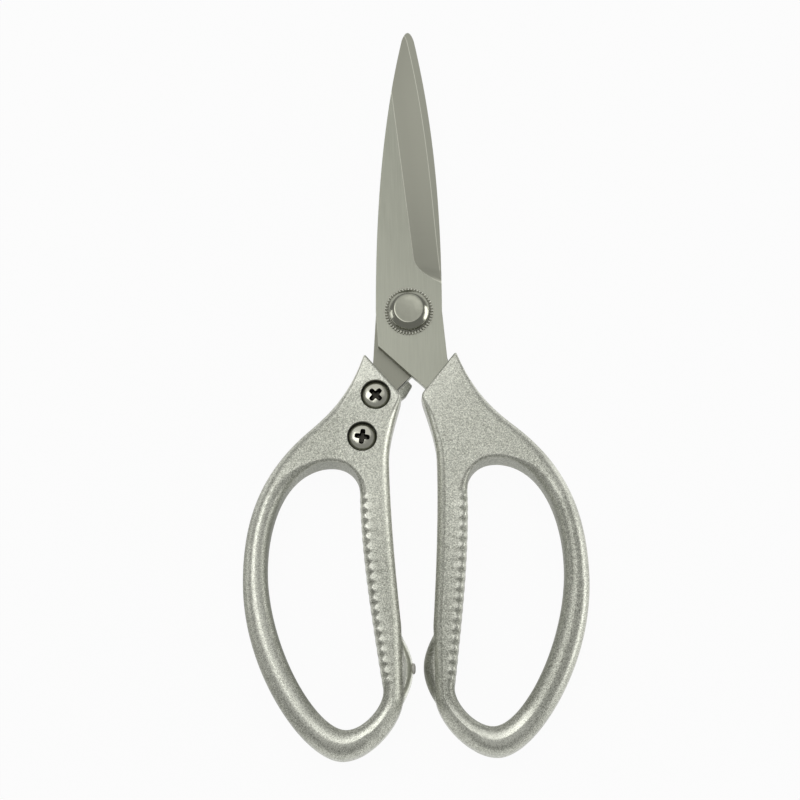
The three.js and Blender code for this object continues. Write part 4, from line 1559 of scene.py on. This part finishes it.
@dataclass
class Skin:
    """Where highlights and shade are painted on a handle's blasted skin.

    A span is where a zone begins and where it is full: across the handle (x), down from the pivot (drop),
    below the handle's face (depth) or in from an outline (inset).
    """

    handle: Handle
    wear: Wear
    heel_x: Span = (36.0, 26.0)
    heel_drop: Span = (106.0, 113.0)
    bow_x: Span = (20.0, 32.0)
    bow_drop: Span = (45.0, 60.0)
    neck_drop: Span = (27.0, 20.0)
    crown_depth: Span = (0.5, 0.0)
    flank_inset: Span = (2.2, 1.0)
    flank_depth: Span = (0.4, 1.2)
    edge_inset: Span = (1.9, 0.9)
    edge_depth: Span = (1.4, 0.6)
    edge_highlight: float = 0.2
    wall_inset: Span = (1.0, 0.5)
    wall_depth: Span = (0.2, 0.9)
    wall_shade: float = 0.3
    ribbed_share: float = 0.2
    bead_inset: Span = (3.0, 2.0)
    bead_depth: Span = (2.4, 1.2)
    bead_highlight: float = 0.35
    tab_swell: float = 0.6
    bore_room: float = 0.2
    bore_depth: float = 0.05
    bore_shade: float = 0.5
    lip_clear: float = 0.3
    lip_shade: float = 0.5

    def mark(self, piece: Mesh) -> None:
        """Writes the painted light and shade at every point of a handle.

        Args:
            piece: The handle, still as drawn.
        """
        points, ribs = self.handle.loop()
        loop, outside = self.tree_of(points), self.tree_of(self.handle.outer())
        values = []
        for vertex in piece.data.vertices:
            flat = Vector((vertex.co.x, vertex.co.y, 0))
            nearest, to_loop = loop.find(flat)[1:]
            to_outside = outside.find(flat)[2]
            depth = self.handle.layout.half_thickness - abs(vertex.co.z)
            shade = self.zones(vertex.co, depth, to_loop, to_outside)
            shade += self.relief(ribs[nearest], depth, to_loop, to_outside)
            values.append(shade - self.hollow_shade(vertex.co, depth))
        shades = piece.data.attributes.new(SHADING_ATTRIBUTE, "FLOAT", "POINT")
        shades.data.foreach_set("value", values)

    @staticmethod
    def tree_of(points: Sequence[Vector]) -> KDTree:
        """Puts an outline's points in a search tree.

        Args:
            points: The outline.

        Returns:
            The tree.
        """
        tree = KDTree(len(points))
        for i, point in enumerate(points):
            tree.insert((point.x, point.y, 0), i)
        tree.balance()
        return tree

    def zones(self, spot: Vector, depth: float, to_loop: float, to_outside: float) -> float:
        """Gives the painted highlights and painted shade that the bow, heel, shoulder, neck, grip and tab add
        to the shade.

        Args:
            spot: The place, as drawn.
            depth: Its distance below the handle's face.
            to_loop: Distance to the finger opening's outline.
            to_outside: Distance to the outer outline.

        Returns:
            The share that is added.
        """
        handle, wear, x, drop = self.handle, self.wear, spot.x, -spot.y
        heel = smoothstep(drop, *self.heel_drop) * smoothstep(x, *self.heel_x)
        bow = smoothstep(x, *self.bow_x) * smoothstep(drop, *self.bow_drop) * (1 - heel)
        tab = smoothstep(x, handle.grip_inside_x, handle.grip_inside_x - self.tab_swell)
        tab *= abs(drop - handle.tab_drop) < handle.tab_half_length
        grip = (1 - max(bow, heel)) * (1 - tab) * smoothstep(drop, *wear.grip_drop)
        shoulder = smoothstep(x, *wear.shoulder_x) * smoothstep(drop, *wear.shoulder_drop)
        flank = smoothstep(to_outside, *self.flank_inset) * smoothstep(depth, *self.flank_depth)
        crown_depth = wear.inner_crown_depth if to_loop < to_outside else self.crown_depth
        rounded = wear.crown * smoothstep(depth, *crown_depth) + wear.flank * flank
        rounded += wear.inner * smoothstep(to_loop, *wear.inner_inset)
        shade = bow * rounded + wear.grip * grip + wear.shoulder * shoulder + wear.tab * tab
        shade += wear.neck * smoothstep(drop, *self.neck_drop)
        return shade + wear.heel * heel * smoothstep(depth, *self.crown_depth)

    def relief(self, rib: float, depth: float, to_loop: float, to_outside: float) -> float:
        """Gives the painted highlights on the outer edges and the rib beads, and the painted shade on the
        finger opening's wall.

        Args:
            rib: Height of the ribs beside the place.
            depth: Its distance below the handle's face.
            to_loop: Distance to the finger opening's outline.
            to_outside: Distance to the outer outline.

        Returns:
            The share that is added.
        """
        # Painted highlights on the outer edges and beads, painted shade on the opening's wall
        edge = smoothstep(to_outside, *self.edge_inset) * smoothstep(depth, *self.edge_depth)
        wall = smoothstep(to_loop, *self.wall_inset) * smoothstep(depth, *self.wall_depth)
        wall *= self.ribbed_share if rib else 1
        bead = smoothstep(to_loop, *self.bead_inset) * smoothstep(depth, *self.bead_depth)
        bead *= max(0.0, rib / self.handle.rib_height)
        return self.edge_highlight * edge - self.wall_shade * wall + self.bead_highlight * bead

    def hollow_shade(self, spot: Vector, depth: float) -> float:
        """Gives the painted shade inside the screws' bores and on the lip under the blade.

        Args:
            spot: The place, as drawn.
            depth: Its distance below the handle's face.

        Returns:
            The share that is taken from the shade.
        """
        handle, dull = self.handle, 0.0
        # Painted shade in the counterbores and on the lip under the blade
        mouth = handle.layout.head_radius + handle.bore_margin + self.bore_room
        if depth > self.bore_depth and min((spot.xy - hole).length for hole in handle.layout.screws) < mouth:
            dull += self.bore_shade
        neck = Vector(handle.neck_inner)
        along = Vector(handle.neck_outer) - neck
        if along.cross(spot.xy - neck) > self.lip_clear * along.length:
            dull += self.lip_shade
        return dull


@dataclass
class PanScrew:
    """A pan-head screw with a rounded cross recess."""

    layout: Layout
    dome_steps: int = 12
    dome_spread: float = 0.7
    dome_fall: float = 0.75
    rim_height: float = 0.75
    rim_under: Flat = (0.12, 0.2)
    point: float = 0.4
    recess_reach: float = 2.15
    recess_waist: float = 0.72
    recess_depth: float = 1.7
    recess_taper: Profile = ((-0.4, 1.1), (0.0, 1.0), (0.6, 0.9))
    recess_floor: float = 0.6
    recess_power: int = 6
    thinnest_side: float = 0.05
    recess_margin: float = 1.02
    floor_slack: float = 0.02
    floor_band: float = 0.1
    steep: float = 0.75
    sides: int = 96
    crease: float = 35.0
    right_turns: Flat = (20.0, 60.0)
    left_turns: Flat = (45.0, 10.0)

    def recess(self) -> Mesh:
        """Makes the cutter for the cross recess, which narrows towards its floor.

        Returns:
            A closed cutter.
        """
        power = self.recess_power
        rings = []
        for depth, size in (*self.recess_taper, (self.recess_depth, self.recess_floor)):
            loop = []
            for step in range(self.sides):
                turn = 360 * step / self.sides
                off = abs((turn + 45) % 90 - 45)
                side = self.recess_waist / max(self.thinnest_side, math.sin(math.radians(off)))
                reach = (side**-power + self.recess_reach**-power) ** (-1 / power)
                spot = polar(size * reach, turn)
                loop.append(Vector((spot.x, spot.y, depth - self.layout.head_height)))
            rings.append(loop)
        return Bench.loft("cross_recess", rings)

    def blank(self) -> Mesh:
        """Makes the screw, seated at z = 0 with its shank upwards.

        Returns:
            The dressed screw, which is copied.
        """
        layout = self.layout
        r, head, height = layout.screw_radius, layout.head_radius, layout.head_height
        length = layout.blade_top - layout.screw_seat + self.point
        dome = []
        for step in range(1, self.dome_steps + 1):
            turn = math.pi / 2 * step / self.dome_steps
            fall = 1 - math.cos(turn) ** self.dome_fall
            out = head * math.sin(turn) ** self.dome_spread
            dome.append((out, (height - self.rim_height) * fall - height))
        under, lift = self.rim_under
        profile = [(0, -height), *dome, (head, -lift), (head - under, 0), (r, 0), (r, length - self.point),
                   (r - self.point, length), (0, length)]
        screw = Bench.turn("pan_screw", profile, self.sides)
        Bench.cut(screw, self.recess())
        Bench.dress(screw, self.crease, Finishes.SCREW, Finishes.RECESS)
        # Painted shade: the faces inside the cross recess take the near-black recess finish
        floor = self.recess_depth - height + self.floor_slack
        with Bench.editing(screw):
            body = bmesh.from_edit_mesh(screw.data)
            for face in body.faces:
                middle = face.calc_center_median()
                inside = math.hypot(middle.x, middle.y) < self.recess_reach * self.recess_margin
                walls = abs(face.normal.z) < self.steep or middle.z > floor - self.floor_band
                face.material_index = int(inside and middle.z < floor and walls)
            bmesh.update_edit_mesh(screw.data)
        return screw

    def build(self) -> list[Mesh]:
        """Makes the four screws, each turned its own way.

        Returns:
            The finished pieces.
        """
        blank = self.blank()
        screws = []
        for half, turns in ((Half.FRONT, self.right_turns), (Half.REAR, self.left_turns)):
            for place, spot, turn in zip(("upper", "lower"), self.layout.screws, turns):
                screw = Bench.copy(blank, f"{half.side}_{place}_pan_screw")
                seat = Matrix.Translation((spot.x, spot.y, self.layout.screw_seat))
                Bench.settle(screw, seat @ Matrix.Rotation(math.radians(turn), 4, "Z"))
                hand_over(screw, half, f"{half.side}_{place}_screw")
                screws.append(screw)
        bpy.data.meshes.remove(blank.data)
        return screws


@dataclass
class Pivot:
    """The stack that joins the blades: cap bolt, toothed washer, spring washer and nut.

    The cap's profiles are distances out from a radius and below the cap's top. The teeth's sections give, for
    each ring, its distance in from the tips, its height above the washer's lower face or below its upper one,
    and how far the gap between two teeth is set in and sunk there.
    """

    layout: Layout
    cap_radius: float = 5.65
    cap_top_radius: float = 4.3
    cap_height: float = 2.6
    cap_under: float = 0.12
    cap_flank: Profile = ((0.0, 1.6), (-0.05, 1.42), (-0.16, 1.24), (-0.32, 1.05), (-0.55, 0.83))
    cap_shoulder: Profile = ((0.55, 0.6), (0.3, 0.39), (0.05, 0.2), (-0.15, 0.09), (-0.35, 0.03), (-0.6, 0.0))
    cap_dish: Profile = ((-1.3, 0.02), (-2.2, 0.05))
    cap_middle: float = 0.07
    bolt_chamfer: float = 0.35
    washer_radius: float = 6.7
    washer_thickness: float = 0.7
    washer_recess: float = 0.45
    teeth: int = 48
    tooth_steps: int = 8
    tooth_power: float = 1.8
    tooth_lower: Section = (
        (0.35, 0.0, 0.4, 0.0), (0.05, 0.12, 0.4, 0.0), (0.0, 0.3, 0.4, 0.1), (0.1, 0.5, 0.4, 0.3))
    tooth_upper: Section = (
        (0.28, 0.06, 0.4, 0.5), (0.48, 0.0, 0.3, 0.55), (0.7, 0.05, 0.15, 0.5), (0.9, 0.2, 0.0, 0.3),
        (1.05, 0.45, 0.0, 0.05))
    gullet_reach: float = 1.0
    gullet_half: float = 0.2
    spring_radius: float = 5.75
    spring_thickness: float = 0.35
    spring_dish: float = 0.25
    spring_rim: float = 0.08
    spring_bore: float = 0.05
    nut_flats: float = 10.0
    nut_thickness: float = 2.3
    nut_turning: float = 0.15
    nut_slope: float = 30.0
    nut_mouth: float = 0.4
    sides: int = 96
    cap_crease: float = 40.0
    tooth_crease: float = 50.0
    spring_crease: float = 35.0
    nut_crease: float = 25.0

    @property
    def washer_bottom(self) -> float:
        """Level of the toothed washer's lower face."""
        return self.layout.blade_top + self.layout.fit_gap

    @property
    def cap_bottom(self) -> float:
        """Level of the cap's lower face."""
        return self.washer_bottom + self.washer_thickness + self.layout.fit_gap

    @property
    def spring_top(self) -> float:
        """Level of the spring washer's rim."""
        return -self.layout.blade_top - self.layout.fit_gap

    @property
    def nut_top(self) -> float:
        """Level of the nut's upper face."""
        return self.spring_top - self.spring_thickness - self.spring_dish - self.layout.fit_gap

    @property
    def nut_bottom(self) -> float:
        """Level of the nut's lower face, where the bolt ends."""
        return self.nut_top - self.nut_thickness

    def bolt(self) -> Mesh:
        """Makes the bolt with its smooth, slightly dished cap.

        Returns:
            The finished piece.
        """
        r, end, base = self.layout.pivot_radius, self.nut_bottom, self.cap_bottom
        top, rim, chamfer, under = base + self.cap_height, self.cap_radius, self.bolt_chamfer, self.cap_under
        crown = (*self.cap_shoulder, *self.cap_dish)
        profile = [(0, end), (r - chamfer, end), (r, end + chamfer), (r, base), (rim - under, base),
                   (rim, base + under), *((rim + out, top - below) for out, below in self.cap_flank),
                   *((self.cap_top_radius + out, top - below) for out, below in crown),
                   (0, top - self.cap_middle)]
        bolt = Bench.turn("pivot_cap_bolt", profile, self.sides)
        Bench.dress(bolt, self.cap_crease, Finishes.PIVOT)
        hand_over(bolt, Half.FRONT, "pivot_bolt")
        return bolt

    def toothed_washer(self) -> Mesh:
        """Makes the washer whose rim is a row of small round teeth.

        Returns:
            The finished piece.
        """
        count, tip, bore = self.teeth * self.tooth_steps, self.washer_radius, self.layout.pivot_hole
        thick = self.washer_thickness
        lower = [(tip - inset, height, valley, sink) for inset, height, valley, sink in self.tooth_lower]
        upper = [(tip - inset, thick - below, valley, sink)
                 for inset, below, valley, sink in self.tooth_upper]
        stations = [(bore, 0.0, 0.0, 0.0), *lower, *upper, (bore, thick - self.washer_recess, 0.0, 0.0)]
        rings = []
        for radius, height, valley, sink in stations:
            loop = []
            for step in range(count):
                gap = ((1 - math.cos(2 * math.pi * step / self.tooth_steps)) / 2) ** self.tooth_power
                spot = polar(radius - valley * gap, 360 * step / count)
                loop.append(Vector((spot.x, spot.y, self.washer_bottom + max(0.0, height - sink * gap))))
            rings.append(loop)
        washer = Bench.loft("toothed_ring_washer", [*rings, rings[0]], capped=False)
        with Bench.editing(washer):
            Bench.face_outwards()
        Bench.dress(washer, self.tooth_crease, Finishes.TOOTH, Finishes.GULLET)
        # Painted light: faces in the gaps between teeth take the darker finish and the teeth the pale one
        for face in washer.data.polygons:
            turn = math.degrees(math.atan2(face.center.y, face.center.x)) * self.teeth / 360 % 1
            between = abs(turn - MIDDLE) < self.gullet_half
            face.material_index = int(between and face.center.xy.length > tip - self.gullet_reach)
        hand_over(washer, Half.FRONT, "toothed_washer")
        return washer

    def spring_washer(self) -> Mesh:
        """Makes the dished washer that keeps the blades together.

        Returns:
            The finished piece.
        """
        bore, radius = self.layout.pivot_hole, self.spring_radius
        top, thick, rim, edge = self.spring_top, self.spring_thickness, self.spring_rim, self.spring_bore
        low = top - thick - self.spring_dish
        profile = [(bore, low + edge), (bore + edge, low), (radius - rim, top - thick),
                   (radius, top - thick + rim), (radius, top - rim), (radius - rim, top),
                   (bore + edge, low + thick), (bore, low + thick - edge)]
        washer = Bench.turn("dished_spring_washer", profile, self.sides)
        Bench.dress(washer, self.spring_crease, Finishes.SPRING)
        hand_over(washer, Half.FRONT, "spring_washer")
        return washer

    def nut(self) -> Mesh:
        """Makes the thin hexagon nut with turned-off corners.

        Returns:
            The finished piece.
        """
        low, high, flat = self.nut_bottom, self.nut_top, self.nut_flats / 2
        corner, turned = flat / math.cos(math.pi / 6), flat - self.nut_turning
        nut = Bench.rod((0, 0), corner, low, high, 6)
        nut.name = nut.data.name = "thin_lock_nut"
        Bench.settle(nut, Matrix.Rotation(math.pi / 6, 4, "Z"))
        fall = (corner - turned) * math.tan(math.radians(self.nut_slope))
        envelope = [(0, low), (turned, low), (corner, low + fall), (corner, high - fall), (turned, high),
                    (0, high)]
        Bench.combine(nut, Bench.turn("corner_turning", envelope, self.sides), "INTERSECT")
        bore, mouth = self.layout.pivot_hole, self.nut_mouth
        profile = [(0, low - OVERCUT), (bore + mouth, low - OVERCUT), (bore + mouth, low),
                   (bore, low + mouth), (bore, high + OVERCUT), (0, high + OVERCUT)]
        Bench.cut(nut, Bench.turn("nut_bore", profile, self.sides))
        Bench.dress(nut, self.nut_crease, Finishes.SCREW)
        hand_over(nut, Half.FRONT, "lock_nut")
        return nut

    def build(self) -> list[Mesh]:
        """Makes the whole stack."""
        return [self.bolt(), self.toothed_washer(), self.spring_washer(), self.nut()]


@dataclass(frozen=True)
class Softbox:
    """One soft studio lamp, aimed at the middle of the scissors."""

    name: str
    spot: Place
    width: float
    height: float
    brightness: float

    def hang(self, aim: Vector) -> None:
        """Adds the lamp.

        Args:
            aim: The point that it shines on.
        """
        bpy.ops.object.light_add(type="AREA", location=self.spot)
        lamp = bpy.context.active_object
        lamp.name = self.name
        lamp.data.shape = "RECTANGLE"
        lamp.data.size, lamp.data.size_y = self.width, self.height
        lamp.data.energy = math.pi * self.width * self.height * self.brightness
        lamp.rotation_euler = (aim - Vector(self.spot)).to_track_quat("-Z", "Y").to_euler()


@dataclass
class Studio:
    """Floor, lamps and camera, in metres."""

    tilt: float = 13.2
    roll: float = -1.5
    distance: float = 0.9
    focal_pixels: float = 3285.0
    picture_pixels: float = 800.0
    sensor: float = 36.0
    clip: Span = (0.01, 50.0)
    target: Flat = (-0.00308, -0.00356)
    target_height: float = 0.0058
    floor_size: float = 8.0
    floor_grey: float = 0.75
    floor_glow: float = 0.95
    sky: float = 0.33
    lamps: tuple[Softbox, ...] = (
        Softbox("tent_ceiling", (-0.2, 0.95, 1.5), 2.2, 1.7, 0.47),
        Softbox("near_left_softbox", (-0.22, 0.12, 0.75), 0.3, 0.5, 1.5),
        Softbox("right_softbox", (1.1, 0.0, 0.2), 0.9, 0.26, 3.6),
        Softbox("left_softbox", (-1.1, 0.0, 0.2), 0.5, 0.12, 2.6),
    )

    def camera(self) -> None:
        """Adds the camera at the photograph's view."""
        tilt, roll = math.radians(self.tilt), math.radians(self.roll)
        back = Vector((0, -math.sin(tilt), math.cos(tilt)))
        right, up = Vector((1, 0, 0)), Vector((0, math.cos(tilt), math.sin(tilt)))
        across = math.cos(roll) * right + math.sin(roll) * up
        upwards = math.cos(roll) * up - math.sin(roll) * right
        eye = Vector((*self.target, self.target_height)) + back * self.distance
        bpy.ops.object.camera_add()
        camera = bpy.context.active_object
        camera.name = "photo_camera"
        turn = Matrix((across, upwards, back)).transposed().to_4x4()
        camera.matrix_world = Matrix.Translation(eye) @ turn
        camera.data.sensor_width = self.sensor
        camera.data.lens = self.sensor * self.focal_pixels / self.picture_pixels
        camera.data.clip_start, camera.data.clip_end = self.clip
        bpy.context.scene.camera = camera

    def floor(self) -> None:
        """Adds the pale floor, which looks near white and keeps a faint shadow."""
        bpy.ops.object.select_all(action="DESELECT")
        bpy.ops.mesh.primitive_plane_add(size=self.floor_size, location=(0, 0, 0))
        floor = bpy.context.active_object
        floor.name = "pale_floor"
        recipe = Recipe("pale_paper_floor")
        rays = ("Is Camera Ray", "Is Glossy Ray", "Is Transmission Ray")
        camera, glossy, through = (recipe.node("ShaderNodeLightPath", {}, {}, ray) for ray in rays)
        seen = (camera + glossy + through).at_most(1.0) * self.floor_glow
        grey = (self.floor_grey, self.floor_grey, self.floor_grey, 1)
        paper = recipe.node("ShaderNodeBsdfDiffuse", {}, {"Color": grey})
        glow = recipe.node("ShaderNodeEmission", {}, {"Color": WHITE, "Strength": 1.0})
        mixed = recipe.node("ShaderNodeMixShader", {}, {0: seen, 1: paper, 2: glow})
        floor.data.materials.append(recipe.end(mixed))

    def light(self) -> None:
        """Adds the lamps and an even, dim sky."""
        aim = Vector((*self.target, 0))
        for lamp in self.lamps:
            lamp.hang(aim)
        world = bpy.data.worlds.new("studio_sky")
        world.use_nodes = True
        sky = world.node_tree.nodes["Background"]
        sky.inputs["Color"].default_value = WHITE
        sky.inputs["Strength"].default_value = self.sky
        bpy.context.scene.world = world

    def build(self) -> None:
        """Sets up the studio."""
        self.camera()
        self.floor()
        self.light()
        bpy.context.scene.view_settings.view_transform = "Standard"


def main() -> None:
    """Builds the studio and the scissors, piece by piece."""
    logging.basicConfig(level=logging.INFO, format="%(name)s: %(message)s")
    Studio().build()
    layout = Layout()
    blades = [Blade(layout, half) for half in Half]
    for blade in blades:
        blade.build()
    handle = Handle(layout, blades[0])
    casting = handle.casting()
    for half in Half:
        handle.finish(casting, half)
    bpy.data.meshes.remove(casting.data)
    handle.bumper()
    PanScrew(layout).build()
    Pivot(layout).build()


if __name__ == "__main__":
    main()
